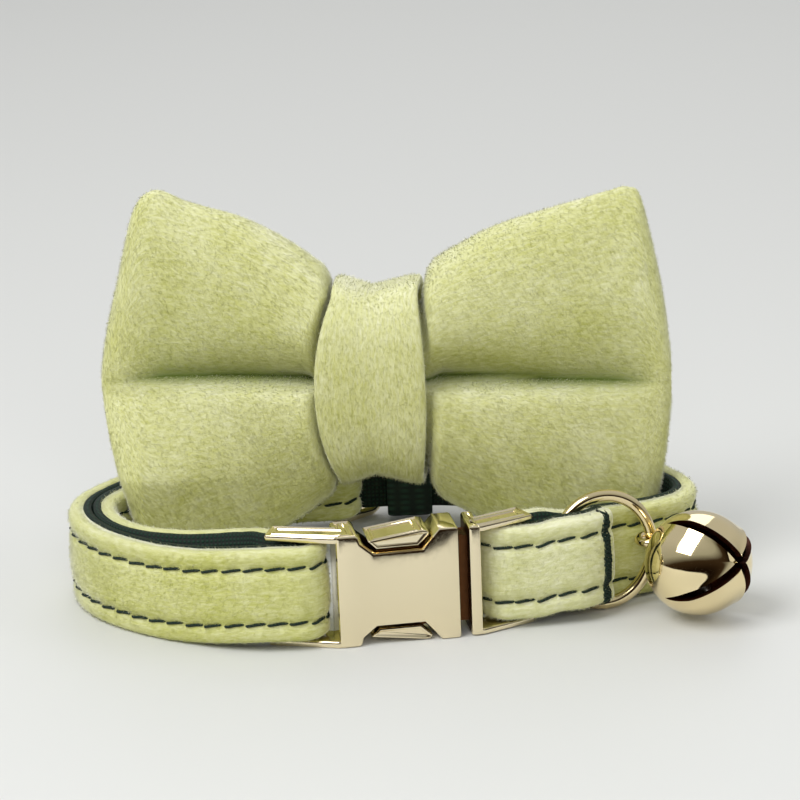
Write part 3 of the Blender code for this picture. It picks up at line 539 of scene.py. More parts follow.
# %% Velvet bands
STITCH_INSET = 2.4 * MM
STITCH_PITCH = 2.75 * MM
STITCH_LONG = 2.68 * MM
STITCH_RISE = 0.21 * MM
EDGE_ROLL = 0.8 * MM
GROOVE_DEEP = 0.48 * MM
GROOVE_WIDE = 0.50 * MM
CROWN = 0.22 * MM


def softly(values, seed, size, waves=7):
    """Smooth unevenness: a sum of sines of seeded lengths and phases, between about -1 and 1."""
    random = np.random.default_rng(seed)
    total = 0.0
    for _ in range(waves):
        total = total + np.sin(values / size * random.uniform(0.5, 1.8) + random.uniform(0, 6.28))
    return total / waves * 1.6


def face_depth(height, run):
    """Depth of the velvet's face: edge roll, two stitch grooves, a low crown and soft unevenness."""
    half = STRAP_WIDTH / 2
    past = np.clip((np.abs(height) - (half - EDGE_ROLL)) / EDGE_ROLL, 0.0, 1.0)
    roll = EDGE_ROLL * (1.0 - np.sqrt(np.maximum(0.0, 1.0 - past**2)))
    row = half - STITCH_INSET
    pull = 0.75 + 0.25 * np.cos(2 * np.pi * run / STITCH_PITCH)
    groove = GROOVE_DEEP * np.exp(-(((np.abs(height) - row) / GROOVE_WIDE) ** 2)) * pull
    crown = -CROWN * np.clip(1.0 - (height / row) ** 2, 0.0, 1.0)
    uneven = 0.07 * MM * softly(run + 0.6 * height, 3, 2.4 * MM)
    uneven = uneven + 0.06 * MM * softly(height, 5, 1.5 * MM)
    return roll + groove + crown + uneven * (1.0 - past)


def band_points(path, near, far, columns, face):
    """Profile points: the face from the bottom edge to the top edge, then the flat back."""
    side = plan_left(path)
    run = STEP * np.arange(len(path))[:, None]
    quarter = np.pi / 2 * 0.98
    spread = np.sin(np.linspace(-1.0, 1.0, columns) * quarter) / math.sin(quarter)
    height = STRAP_WIDTH / 2 * spread[None, :] + 0.0 * run
    depth = np.minimum(near + face(height, run), far - 0.15 * MM)
    back = np.array([0.99, 0.5, 0.0, -0.5, -0.99])[None, :] * STRAP_WIDTH / 2 + 0.0 * run
    height = np.concatenate([height, back], axis=1)
    depth = np.concatenate([depth, np.full(back.shape, far)], axis=1)
    fray = 0.05 * MM * softly(run, 11, 0.8 * MM) * np.sign(height) * (np.abs(height) > 5.0 * MM)
    x = path[:, None, 0] + side[:, None, 0] * depth
    y = path[:, None, 1] + side[:, None, 1] * depth
    z = path[:, None, 2] + STRAP_WIDTH / 2 + height + np.minimum(fray, 0.0)
    return np.stack([x, y, z], axis=-1)


strap_grid = band_points(strap_path, 0.0, VELVET + GAP, 31, face_depth)
tab_grid = band_points(tab_path, 0.0, VELVET + GAP, 31, face_depth)
strap_velvet = surface("strap_velvet_band", strap_grid, velvet_strap, ring_v=True, ends=True)
stand_for(strap_velvet, "strap_velvet", "strap_velvet")
tab_velvet = surface("tab_velvet_band", tab_grid, velvet_tab, ring_v=True, ends=True)
stand_for(tab_velvet, "tab_velvet", "tab_velvet")

# %% [markdown]
# The lining lies flat behind the velvet and is sewn to it, so the two touch. It is thin and
# hardly shows, except as the dark line along the strap's top edge and on the loop's inner side.

# %% Lining bands
LINING_ROLL = 0.35 * MM


def webbing_depth(height, run):
    """A flat face with rounded edges."""
    half = STRAP_WIDTH / 2
    past = np.clip((np.abs(height) - (half - LINING_ROLL)) / LINING_ROLL, 0.0, 1.0)
    return 0.3 * MM * (1.0 - np.sqrt(np.maximum(0.0, 1.0 - past**2)))


for name, path in (("strap_lining", strap_path), ("tab_lining", tab_path)):
    points = band_points(path, VELVET + GAP, LAYER, 17, webbing_depth)
    stand_for(surface(name + "_band", points, webbing, ring_v=True, ends=True), name, name)

# %% [markdown]
# Each stitch is a short piece of thick thread that comes out of the cloth, lies on it and dives
# back in. One stitch is a small tube whose depth follows an arch. All stitches are placed at
# once: the arch's points are looked up on the strap's route by their distance along it.

# %% Stitches
THREAD_RADIUS = 0.19 * MM
SIX_ROUND = turns(6)
WAY = np.linspace(-1.0, 1.0, 9)


def laid(path, run, deep, high):
    """Points by their distance along a route: deep to its left, high above the strap's middle."""
    marks = STEP * np.arange(len(path))
    spot = np.stack([np.interp(run, marks, path[:, i]) for i in range(3)], axis=-1)[..., None, :]
    side = plan_left(path)
    side = unit(np.stack([np.interp(run, marks, side[:, i]) for i in range(2)], axis=-1))[..., None, :]
    x = spot[..., 0] + side[..., 0] * deep
    y = spot[..., 1] + side[..., 1] * deep
    return np.stack([x, y, spot[..., 2] + STRAP_WIDTH / 2 + high], axis=-1)


def stitch_points(path, starts, height):
    """Tubes of nine rings of six points; depth is an arch, 1 minus the eighth power of the way."""
    starts = starts[:, None]
    uneven = softly(starts, 41, 0.9 * MM)
    run = starts + 0.09 * MM * uneven + STITCH_LONG / 2 * (WAY + 1.0) * (1.0 + 0.05 * uneven)
    sink = face_depth(height + 0.0 * run, run) + 0.34 * MM * WAY**8 - STITCH_RISE
    thin = (THREAD_RADIUS * (1.0 - 0.25 * WAY**2))[:, None]
    slant = 0.12 * MM * WAY + 0.09 * MM * softly(starts, 43, 0.7 * MM)
    deep = sink[..., None] + thin * np.cos(SIX_ROUND)
    high = height + slant[..., None] + thin * np.sin(SIX_ROUND)
    return laid(path, run, deep, high)


def many_tubes(name, tubes, material):
    """One mesh of many short tubes: quads round each, and a cap of six points at both ends."""
    count, rings, sides = tubes.shape[:3]
    first = (np.arange(count) * rings * sides)[:, None, None]
    ring = (np.arange(rings - 1) * sides)[None, :, None]
    this = np.arange(sides)[None, None, :]
    after = (this + 1) % sides
    low = first + ring
    quads = np.stack([low + this, low + this + sides, low + after + sides, low + after], -1)
    caps = first[:, 0] + np.arange(sides)[None, :]
    other = first[:, 0] + (rings - 1) * sides + np.arange(sides)[None, ::-1]
    faces = quads.reshape(-1, 4).tolist() + caps.tolist() + other.tolist()
    mesh = bpy.data.meshes.new(name)
    mesh.from_pydata(tubes.reshape(-1, 3).tolist(), [], faces)
    turned_out(mesh)
    around = np.broadcast_to(np.arange(sides)[None, None, :] * 0.2, (count, rings, sides))
    along = np.broadcast_to(np.arange(rings)[None, :, None] * 0.23, (count, rings, sides))
    spots = np.stack([along, around], -1).reshape(-1, 2)
    order = np.zeros(len(mesh.loops), dtype=np.int32)
    mesh.loops.foreach_get("vertex_index", order)
    lay_uv(mesh, spots[order])
    return smooth_piece(name, mesh, material)


row = STRAP_WIDTH / 2 - STITCH_INSET
for name, path, long, spare in (("strap", strap_path, strap_long, 1.0), ("tab", tab_path, tab_long, 2.0)):
    starts = np.arange(1.0 * MM, long - STITCH_LONG - spare * MM, STITCH_PITCH)
    tubes = np.concatenate([stitch_points(path, starts, height) for height in (row, -row)])
    stand_for(many_tubes(name + "_stitches", tubes, thread), name + "_lining")

# %% [markdown]
# The tab is closed by a bar of dense crossing stitches near its end, which shows as a ragged dark
# line from edge to edge. It is a stack of short threads across the band's face, alternately
# slanted up and down.

# %% The tab's bar of stitches
BAR_LONG = 1.15 * MM
BAR_COUNT = 44
BAR_SLANT = 0.34 * MM
BAR_THREAD = 0.22 * MM
bar_heights = np.linspace(-0.48, 0.48, BAR_COUNT)[:, None] * STRAP_WIDTH
bar_slants = np.where(np.arange(BAR_COUNT) % 2 == 0, BAR_SLANT, -BAR_SLANT)[:, None]
bar_half = BAR_LONG / 2 * (1.0 + 0.35 * softly(bar_heights, 8, 0.4 * MM))
bar_run = tab_long - BAR_LONG + bar_half * WAY
bar_high = bar_heights + bar_slants * WAY
bar_deep = face_depth(bar_high, bar_run) + 0.35 * MM * WAY**6 - 0.14 * MM
bar_deep = bar_deep[..., None] + BAR_THREAD * np.cos(SIX_ROUND)
bar_high = bar_high[..., None] + BAR_THREAD * np.sin(SIX_ROUND)
bar_tubes = laid(tab_path, bar_run, bar_deep, bar_high)
stand_for(many_tubes("tab_bar_stitches", bar_tubes, thread), "tab_lining")

# %% [markdown]
# The buckle's two halves are castings. Their CAD shapes are right but their edges are sharp, and
# no casting has a sharp edge: the plating catches a thin bright line on each rounded one. So a
# copy of each mesh is merged into one skin and gets a narrow bevel, and it stands for the CAD node.

# %% Buckle halves
BUCKLE_FRONT = Vector((math.sin(BUCKLE_YAW), -math.cos(BUCKLE_YAW), 0.0))
CASTING_EDGE = 0.10 * MM
# how far each inset goes in and how deep, in mm: a step, a flat, a raised middle, a flat, a dip
PANEL_STEPS = ((0.30, -0.20), (0.30, 0.0), (0.14, 0.17), (0.30, 0.0), (0.14, -0.17))
front_point = Vector((*(BUCKLE_CORNER + SHIFT[:2]), 0.0))


def panel(face):
    """The arms' flat outer sides and the buttons' front faces, which have a sunken middle."""
    size = face.calc_area() / MM**2
    if abs(face.normal.z) > 0.99 and 14.0 < size < 60.0 and len(face.verts) < 12:
        return True
    set_back = (face.calc_center_median() - front_point).dot(BUCKLE_FRONT) / MM
    return face.normal.dot(BUCKLE_FRONT) > 0.99 and -0.6 < set_back < -0.2 and 3.0 < size < 40.0


def in_shaded_slot(face):
    """The latch's guide between the halves, and the faces that look along the slot: these take the painted
    shade.
    """
    spot = face.calc_center_median() - front_point
    along = spot.dot(Vector((math.cos(BUCKLE_YAW), math.sin(BUCKLE_YAW), 0.0))) / MM
    back = -spot.dot(BUCKLE_FRONT) / MM
    inside = back > 1.3 and face.normal.dot(BUCKLE_FRONT) > 0.9
    return along < 17.0 and 1.4 < spot.z / MM < 12.9 and (inside or (along > 12.5 and back > 1.0))


def bevelled(piece, width, least):
    """Two narrow facets along every edge that is sharper than an angle in degrees."""
    bevel = piece.modifiers.new("rounded edges", "BEVEL")
    bevel.width = width
    bevel.segments = 2
    bevel.limit_method = "ANGLE"
    bevel.angle_limit = math.radians(least)
    return bevel


def smoothed_copy(node_name):
    """A merged copy of a CAD node with sunken panels, painted shade in the slot and rounded edges."""
    shell = bmesh.new()
    shell.from_mesh(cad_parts[node_name].data)
    bmesh.ops.remove_doubles(shell, verts=shell.verts, dist=0.002 * MM)
    bmesh.ops.dissolve_limit(
        shell, angle_limit=math.radians(1.5), verts=shell.verts, edges=shell.edges
    )
    sunken = [face for face in shell.faces if panel(face)]
    for thickness, depth in PANEL_STEPS:
        bmesh.ops.inset_individual(shell, faces=sunken, thickness=thickness * MM, depth=depth * MM)
        sunken = [face for face in sunken if face.is_valid and face.calc_area() > 5.0 * MM**2]
    # Painted shade: the faces in the slot take the dark second material.
    for face in shell.faces:
        face.material_index = 1 if in_shaded_slot(face) else 0
    mesh = bpy.data.meshes.new(node_name + "_casting")
    shell.to_mesh(mesh)
    shell.free()
    piece = smooth_piece(mesh.name, mesh, gold, shaded_gold)
    mesh.set_sharp_from_angle(angle=math.radians(38.0))
    bevelled(piece, CASTING_EDGE, 35.0).harden_normals = True
    return piece


for half in ("buckle_housing", "buckle_latch"):
    stand_for(smoothed_copy(half), half, half)

# %% [markdown]
# The ring and the slider are bent wire, soldered shut. A wire is a circle carried along a closed
# path, with its own flat frame: one axis in the path's plane, the other across it.

# %% Ring and slider
def wire(centres, radius, normal, sides):
    """Points centre + radius * (cosine * across + sine * normal) round a closed flat path."""
    normal = unit(normal)
    way = unit(np.roll(centres, -1, axis=0) - np.roll(centres, 1, axis=0))
    across = np.cross(way, normal)
    angles = turns(sides)
    offset = across[:, None] * np.cos(angles)[None, :, None] + normal * np.sin(angles)[None, :, None]
    return centres[:, None] + radius * offset


RING_YAW = math.radians(10.0)
RING_PLACE = right_bar + np.array([11.74, 2.48]) * MM + SHIFT[:2]
RING_WIRE = 0.75 * MM
RING_HALF_WIDE = 6.1 * MM
RING_HALF_HIGH = 7.0 * MM


def ring_line(angles):
    """The ring's centre line: an upright oval, 12.2 mm wide and 14 mm high, turned by its yaw."""
    reach = RING_HALF_WIDE * np.cos(angles)
    x = RING_PLACE[0] + reach * math.cos(RING_YAW)
    y = RING_PLACE[1] + reach * math.sin(RING_YAW)
    z = RING_HALF_HIGH + RING_WIRE + RING_HALF_HIGH * np.sin(angles) + FLOOR_GAP
    return np.stack([x, y, z], axis=-1)


ring_normal = np.array([math.sin(RING_YAW), -math.cos(RING_YAW), 0.0])
ring_points = wire(ring_line(turns(120)), RING_WIRE, ring_normal, 18)
ring = surface("ring_wire", ring_points, bright_gold, True, True)
stand_for(ring, "ring", "ring")

SLIDER_HIGH = 16.0 * MM
SLIDER_CORNER = 1.7 * MM

middle = SLIDER_ENDS.mean(axis=0) + SHIFT[:2]
across = SLIDER_ENDS[1] - SLIDER_ENDS[0]
half_wide = np.linalg.norm(across) / 2
across = unit(across)
half_high = (SLIDER_HIGH - 2 * SLIDER_BAR) / 2
quarter = np.linspace(0.0, 0.5 * np.pi, 9)
slider_u, slider_w = [], []
for k, (side_u, side_w) in enumerate(((1, 1), (-1, 1), (-1, -1), (1, -1))):
    slider_u.append(side_u * (half_wide - SLIDER_CORNER) + SLIDER_CORNER * np.cos(quarter + k * np.pi / 2))
    slider_w.append(side_w * (half_high - SLIDER_CORNER) + SLIDER_CORNER * np.sin(quarter + k * np.pi / 2))
slider_u, slider_w = np.concatenate(slider_u), np.concatenate(slider_w)
slider_z = SLIDER_BAR + FLOOR_GAP + half_high + slider_w
slider_line = np.column_stack([middle + slider_u[:, None] * across, slider_z])
slider_normal = np.array([across[1], -across[0], 0.0])
slider = surface("slider_wire", wire(slider_line, SLIDER_BAR, slider_normal, 16), gold, True, True)
stand_for(slider, "slider", "slider")

# %% [markdown]
# The bell is stamped from thin brass: a cup with a cross of slits, whose four petals are bent
# together into a ball. One petal is a patch of the ball between two slits. Going back from the
# tip the slits narrow and close, so the four patches join into a dome. The same patch a wall's
# thickness further in makes the inside, and a strip joins both along the slits.

# %% Bell
BELL_RADIUS = 6.4 * MM
BELL_WALL = 0.7 * MM
BELL_STRETCH = 1.08
BELL_LIFT = 0.8 * MM
BELL_BEARING = math.radians(-47.3)
ring_end = ring_line(np.array([0.0]))[0]
bell_high = BELL_RADIUS + BELL_LIFT
bell_off = math.sqrt((BELL_RADIUS + RING_WIRE + GAP) ** 2 - (ring_end[2] - bell_high) ** 2)
BELL_CENTRE = np.array([
    ring_end[0] + bell_off * math.cos(BELL_BEARING),
    ring_end[1] + bell_off * math.sin(BELL_BEARING),
    bell_high,
])
BELL_TIP = Vector((0.67, -0.70, 0.23)).normalized()
BELL_SLIT_WAY = Vector((-0.47, -0.16, 0.86))
SLIT_HALF = 0.60 * MM
SLIT_END = math.radians(98.0)
SLIT_NARROWS = math.radians(30.0)
PETAL_LIP = 0.26 * MM
PETAL_ROWS = np.linspace(math.radians(6.6), math.pi, 64)


def petal(quarter_turn, radius):
    """Ball patch: polar angle from the axis, and azimuth squeezed between the two slits."""
    polar = PETAL_ROWS[:, None]
    share = np.linspace(0.0, 1.0, 25)[None, :]
    closing = np.clip((SLIT_END - polar) / SLIT_NARROWS, 0.0, 1.0) ** 0.7
    slit = np.arcsin(np.clip(SLIT_HALF * closing / (BELL_RADIUS * np.sin(polar) + 1e-9), 0.0, 0.7071))
    azimuth = quarter_turn * np.pi / 2 + slit + share * (np.pi / 2 - 2 * slit)
    edge = np.minimum(share, 1.0 - share) * (np.pi / 2) * np.sin(polar)
    lip = PETAL_LIP * np.exp(-edge / 0.10) * closing
    reach = radius + lip
    height = reach * np.cos(polar)
    height = np.where(height > 0, height * BELL_STRETCH, height) + 0.0 * share
    return np.stack([
        reach * np.sin(polar) * np.cos(azimuth),
        reach * np.sin(polar) * np.sin(azimuth),
        height,
    ], axis=-1)


bell_shell = bmesh.new()
for quarter_turn in range(4):
    outer = petal(quarter_turn, BELL_RADIUS)
    inner = petal(quarter_turn, BELL_RADIUS - BELL_WALL)
    open_rows = int(np.searchsorted(PETAL_ROWS, SLIT_END)) + 1
    patches = [outer, inner, np.stack([outer[0], inner[0]])]
    patches += [np.stack([outer[:open_rows, side], inner[:open_rows, side]]) for side in (0, -1)]
    for patch in patches:
        part = surface("patch", patch, bright_gold, turn_out=False)
        # Painted shade: the inner patches and the strips along the slits take the dark second material.
        side_index = [0 if patch is outer else 1] * len(part.data.polygons)
        part.data.polygons.foreach_set("material_index", side_index)
        bell_shell.from_mesh(part.data)
        bpy.data.objects.remove(part, do_unlink=True)
bmesh.ops.remove_doubles(bell_shell, verts=bell_shell.verts, dist=0.004 * MM)
bmesh.ops.recalc_face_normals(bell_shell, faces=bell_shell.faces)
bell_y = BELL_TIP.cross(BELL_SLIT_WAY).normalized()
bell_turn = Matrix([bell_y.cross(BELL_TIP), bell_y, BELL_TIP]).transposed().to_4x4()
bell_shell.transform(Matrix.Translation(Vector(BELL_CENTRE)) @ bell_turn)
bell_mesh = bpy.data.meshes.new("bell_shell")
bell_shell.to_mesh(bell_mesh)
bell_shell.free()
bell = smooth_piece("bell_shell", bell_mesh, bright_gold, bell_inside_shade)
bell_mesh.set_sharp_from_angle(angle=math.radians(40.0))
bevelled(bell, 0.06 * MM, 45.0)
stand_for(bell, "bell", "bell")

HOOP_RADIUS = 1.62 * MM
HOOP_WIRE = 0.5 * MM
HOOP_ANGLES = np.radians([4.0, 7.0, 10.0])
before, hoop_spot, after = ring_line(HOOP_ANGLES)
ring_way = unit(after - before)
hoop_side = unit(np.cross(ring_way, hoop_spot - BELL_CENTRE))
hoop_out = np.cross(hoop_side, ring_way)
hoop_turns = turns(40)[:, None]
hoop_line = hoop_spot + HOOP_RADIUS * (np.cos(hoop_turns) * hoop_out + np.sin(hoop_turns) * hoop_side)
hoop = surface("bell_hoop", wire(hoop_line, HOOP_WIRE, ring_way, 12), bright_gold, True, True)
stand_for(hoop, "bell")

PELLET_RADIUS = 1.6 * MM
PELLET_LOW = 2.2 * MM
pellet_place = np.array([*BELL_CENTRE[:2], PELLET_LOW + PELLET_RADIUS])
polar = np.linspace(0.001, np.pi - 0.001, 24)[:, None]
azimuth = turns(32)[None, :]
pellet_points = pellet_place + PELLET_RADIUS * np.stack(
    [np.sin(polar) * np.cos(azimuth), np.sin(polar) * np.sin(azimuth), np.cos(polar) + 0.0 * azimuth], -1
)
pellet = surface("bell_pellet_ball", pellet_points, steel, ring_v=True, ends=True)
stand_for(pellet, "bell_pellet", "bell_pellet")

# %% [markdown]
# The bow is a flat tube of velvet, stuffed a little and drawn in at its middle by a band. Cut
# across, each wing is two soft lobes with a fold between them: at the knot the lobes are fat and
# the fold is deep, at the ends the cloth lies nearly flat. So the wing is a section that changes
# along its length. A short table gives height, thickness and fold depth, and a cubic through the
# table's rows makes them change smoothly.

# %% Bow shape
BOW_PLACE = np.array([-3.1, 2.2, 25.4]) * MM + SHIFT
BOW_YAW = math.radians(-6.0)
BOW_LEFT = 34.9 * MM
BOW_RIGHT = 37.4 * MM
BOW_HALF_HIGH = 24.8 * MM
BOW_THICK = 6.2 * MM
KNOT_HALF_WIDE = 7.0 * MM
KNOT_HALF_HIGH = 11.8 * MM
KNOT_HALF_DEEP = 6.5 * MM
CORNER_PUSH = 5.2 * MM
MOST_CREASE_SHADE = 0.95

# share of the wing's length (minus is left), share of half height, share of thickness, fold
BOW_ROWS = np.array([
    (-1.000, 0.06, 0.14, 0.00), (-0.990, 0.15, 0.22, 0.00), (-0.971, 0.28, 0.29, 0.04),
    (-0.945, 0.42, 0.34, 0.08), (-0.920, 0.545, 0.38, 0.12), (-0.890, 0.71, 0.41, 0.18),
    (-0.855, 0.88, 0.43, 0.27), (-0.820, 0.965, 0.44, 0.35), (-0.782, 1.000, 0.46, 0.44),
    (-0.656, 0.948, 0.56, 0.60), (-0.524, 0.880, 0.68, 0.70), (-0.390, 0.752, 0.80, 0.76),
    (-0.290, 0.635, 0.91, 0.78), (-0.250, 0.590, 0.95, 0.76), (-0.228, 0.545, 0.88, 0.66),
    (-0.209, 0.440, 0.71, 0.50), (-0.165, 0.400, 0.68, 0.40), (-0.070, 0.370, 0.64, 0.20),
    (0.070, 0.370, 0.64, 0.20), (0.155, 0.400, 0.68, 0.40), (0.195, 0.440, 0.71, 0.50),
    (0.212, 0.550, 0.88, 0.66), (0.232, 0.605, 0.95, 0.76), (0.270, 0.652, 0.92, 0.78),
    (0.330, 0.705, 0.86, 0.77), (0.400, 0.768, 0.80, 0.75), (0.490, 0.830, 0.72, 0.72),
    (0.600, 0.884, 0.62, 0.65), (0.710, 0.930, 0.53, 0.56), (0.805, 0.972, 0.47, 0.46),
    (0.866, 0.988, 0.44, 0.36), (0.905, 0.945, 0.42, 0.26), (0.935, 0.760, 0.38, 0.14),
    (0.962, 0.560, 0.34, 0.06), (0.982, 0.370, 0.28, 0.02), (1.000, 0.120, 0.14, 0.00),
])
PINCH = (0.34, 0.12)
PINCH_FULL = 9.5 * MM
PINCH_NONE = 20.0 * MM


def through(x, knots, values):
    """Cubic Hermite through a table: end values and slopes of each stretch, blended."""
    slopes = np.gradient(values, knots)
    i = np.clip(np.searchsorted(knots, x) - 1, 0, len(knots) - 2)
    width = knots[i + 1] - knots[i]
    t = (x - knots[i]) / width
    start = (2 * t**3 - 3 * t**2 + 1) * values[i] + (t**3 - 2 * t**2 + t) * width * slopes[i]
    stop = (3 * t**2 - 2 * t**3) * values[i + 1] + (t**3 - t**2) * width * slopes[i + 1]
    return start + stop


def pinched(points):
    """Draw the cloth beside the knot in towards it, most at the knot's top and bottom."""
    near = np.clip((PINCH_NONE - np.abs(points[..., 0])) / (PINCH_NONE - PINCH_FULL), 0.0, 1.0)
    high = np.clip(np.abs(points[..., 2]) / KNOT_HALF_HIGH, 0.0, 1.0)
    share = np.where(points[..., 0] < 0.0, *PINCH)
    along = points[..., 0] * (1.0 - share * high**2 * near)
    return np.stack([along, points[..., 1], points[..., 2]], axis=-1)


def in_collar(points):
    """Bow points (along, deep, high) turned by the bow's yaw and put in their place."""
    points = pinched(points)
    cosine, sine = math.cos(BOW_YAW), math.sin(BOW_YAW)
    x = points[..., 0] * cosine - points[..., 1] * sine
    y = points[..., 0] * sine + points[..., 1] * cosine
    return np.stack([x, y, points[..., 2]], axis=-1) + BOW_PLACE


def cusp(crest, above, below):
    """A sharp ridge, exp(-|crest| / width), with one width above the crest and one below."""
    return np.exp(-np.abs(crest) / np.where(crest > 0, above, below))


def bow_points(stations, sides):
    """Section: height runs as a sine round the lobe, depth is a full curve less the fold's cusp; it also
    gives the painted crease shade.
    """
    raw = np.linspace(-1.0, 1.0, stations)
    share = np.sign(raw) * (1.0 - (1.0 - np.abs(raw)) ** 1.25)
    columns = [through(share, BOW_ROWS[:, 0], BOW_ROWS[:, i])[:, None] for i in (1, 2, 3)]
    tall, thick, fold_in = columns
    tall, thick = np.clip(tall, 0.02, 1.02), np.clip(thick, 0.08, 1.0)
    angle = turns(sides)[None, :]
    up = np.sin(angle)
    full = (1.0 - np.abs(up) ** 3.2) ** 0.5
    crest = up - 0.03 + 0.042 * np.clip((share[:, None] - 0.2) / 0.5, 0.0, 1.0)
    furrow = 0.82 * cusp(crest, 0.15, 0.035) + 0.18 * np.exp(-((crest / 0.30) ** 2))
    lobes = full * np.maximum(1.0 - 1.4 * fold_in * furrow, 0.06)
    # Painted shade: darkest in the crease between the lobes, and fading in over the upper lobe just above
    # it, as under a lamp from above.
    shade = 0.85 * cusp(crest, 0.045, 0.025) + 0.42 * cusp(crest, 0.20, 0.20) * (crest > 0)
    fold_and_crease_shade = np.clip(fold_in * 2.0, 0.0, 1.0) * shade
    deep = -BOW_THICK * thick * lobes * np.sign(np.cos(angle) + 1e-12)
    high = BOW_HALF_HIGH * tall * up
    left_end = np.clip((-share[:, None] - 0.45) / 0.4, 0.0, 1.0)
    low_down = np.clip((-high - 0.05 * BOW_HALF_HIGH) / (0.4 * BOW_HALF_HIGH), 0.0, 1.0)
    deep = deep - CORNER_PUSH * left_end * low_down
    along = np.where(share < 0, BOW_LEFT, BOW_RIGHT)[:, None] * share[:, None]
    along = along + 0.2 * MM * left_end * low_down + 0.0 * up
    wave = 0.16 * MM * softly(along + 0.7 * high, 21, 4.5 * MM)
    wave = wave + 0.12 * MM * softly(high - 0.4 * along, 22, 3.2 * MM)
    deep = deep + wave * np.clip((np.abs(share[:, None]) - 0.25) * 4.0, 0.0, 1.0) * full
    points = np.stack([along, deep, high + 0.0 * along], axis=-1)
    return in_collar(points), np.clip(fold_and_crease_shade, 0.0, MOST_CREASE_SHADE)


bow_grid, bow_crease_shade = bow_points(190, 160)
bow = surface("bow_padded_wings", bow_grid, velvet_wing, ring_v=True, ends=True)
# The painted crease shade goes onto the wings as an attribute.
store_crease_shade(bow.data, bow_crease_shade)
stand_for(bow, "bow_body", "bow_body")

# %% [markdown]
# The knot is a folded band of the same velvet, wrapped tight round the bow's middle. It rises to
# both of its edges where the wings push it out, so its top has a shallow notch. It is a profile
# carried round a rounded rectangle: outside, rolled edge, inside, rolled edge.

# %% Knot
def knot_points(sides, columns):
    """Round section |cos|^0.6 by |sin|^0.6, whose size grows with the distance from the middle."""
    t = turns(columns)
    across_share = signed_power(np.cos(t), 0.55)
    inset = 1.0 * MM * (1.0 - signed_power(np.sin(t), 0.55))
    spread = np.sqrt(across_share**2 + 0.006)
    angle = turns(sides)[:, None]
    high = KNOT_HALF_HIGH + 1.8 * MM * spread - inset
    deep = KNOT_HALF_DEEP + 0.45 * MM * spread - inset
    crown = 0.18 * MM * (1.0 - across_share**2) * (np.sin(t) > 0)
    y = (deep + crown)[None, :] * signed_power(np.cos(angle), 0.6)
    z = high[None, :] * signed_power(np.sin(angle), 0.6)
    x = KNOT_HALF_WIDE * across_share[None, :] + 0.0 * y
    y = y + 0.10 * MM * softly(x + 0.5 * z, 31, 3.0 * MM) * np.sign(y)
    return in_collar(np.stack([x, y, z], axis=-1))


knot_grid = knot_points(144, 48)
knot = surface("bow_knot_band", knot_grid, velvet_knot, ring_u=True, ring_v=True)
stand_for(knot, "bow_knot", "bow_knot")

# %% [markdown]
# Behind the knot an elastic loop holds the bow on the strap. It is flat, 6 mm wide, and runs down
# the inner side of the strap, under it and up again. Its route is drawn in the upright plane
# across the strap, and the band's flat section is carried along it.

# %% Elastic
ELASTIC_X = 0.8 * MM + SHIFT[0]
ELASTIC_HALF_WIDE = 3.0 * MM
ELASTIC_HALF_THICK = 0.45 * MM
strap_out = LOOP_ROWS[8, 1] * LOOP_SIZE[1] + SHIFT[1]
strap_in = strap_out - LAYER
knot_back = BOW_PLACE[1] + KNOT_HALF_DEEP
room = GAP + ELASTIC_HALF_THICK
low = LOOP_ROWS[8, 2] * LOOP_SIZE[2] - room
high = low + STRAP_WIDTH + 2 * room
span = strap_in - knot_back
elastic_rows = np.array([
    (knot_back + 2.2 * room, high + 13.0 * MM), (knot_back + 1.8 * room, high + 9.0 * MM),
    (knot_back + 0.35 * span, high + 3.0 * MM), (strap_in - 2.2 * room, high - 1.6 * MM),
    (strap_in - 1.4 * room, high - 4.0 * MM), (strap_in - 1.4 * room, low + 2.4 * MM),
    (strap_in - 1.0 * room, low + 0.4 * MM), (strap_in + 0.2 * LAYER, low - 0.26 * MM),
    (strap_out - 0.2 * LAYER, low - 0.26 * MM), (strap_out + 1.0 * room, low + 0.4 * MM),
    (strap_out + 1.4 * room, low + 2.4 * MM), (strap_out + 1.5 * room, high - 2.0 * MM),
    (strap_out + 0.6 * room, high + 0.5 * MM), (strap_in - 0.6 * room, high + 2.4 * MM),
    (knot_back + 0.5 * span, high + 7.5 * MM), (knot_back + 0.22 * span, high + 12.0 * MM),
])
ringed = np.vstack([elastic_rows[-3:], elastic_rows, elastic_rows[:3]])
ringed = spline(np.column_stack([ringed, np.zeros(len(ringed))]), 0.5 * MM)[:, :2]
half = len(ringed) // 2
first = int(np.argmin(np.linalg.norm(ringed[:half] - elastic_rows[0], axis=1)))
last = half + int(np.argmin(np.linalg.norm(ringed[half:] - elastic_rows[0], axis=1)))
line = ringed[first:last]
way = unit(np.roll(line, -1, axis=0) - np.roll(line, 1, axis=0))
out = np.stack([-way[:, 1], way[:, 0]], axis=1)
wide = ELASTIC_HALF_WIDE * signed_power(np.cos(turns(24)), 0.35)
thin = ELASTIC_HALF_THICK * signed_power(np.sin(turns(24)), 0.6)
elastic_points = np.stack([
    ELASTIC_X + wide[None, :] + 0.0 * line[:, :1],
    line[:, :1] + out[:, :1] * thin[None, :],
    line[:, 1:] + out[:, 1:] * thin[None, :],
], axis=-1)
elastic_loop = surface("bow_elastic_loop", elastic_points, elastic, ring_u=True, ring_v=True)
stand_for(elastic_loop, "bow_elastic", "bow_elastic")

# %% [markdown]
# Seen edge-on, velvet is fuzzy: its fibres stand out past the outline and catch the light. So each
# velvet piece gets a pile of short blades, one triangle each. Random places on the piece's grid
# are found by weights between four grid points. A blade leans from the surface's normal towards
# the way the pile lies, with a random part, and is shaded with the surface's own normal, so the
# pile brightens and darkens with the cloth under it instead of glittering.

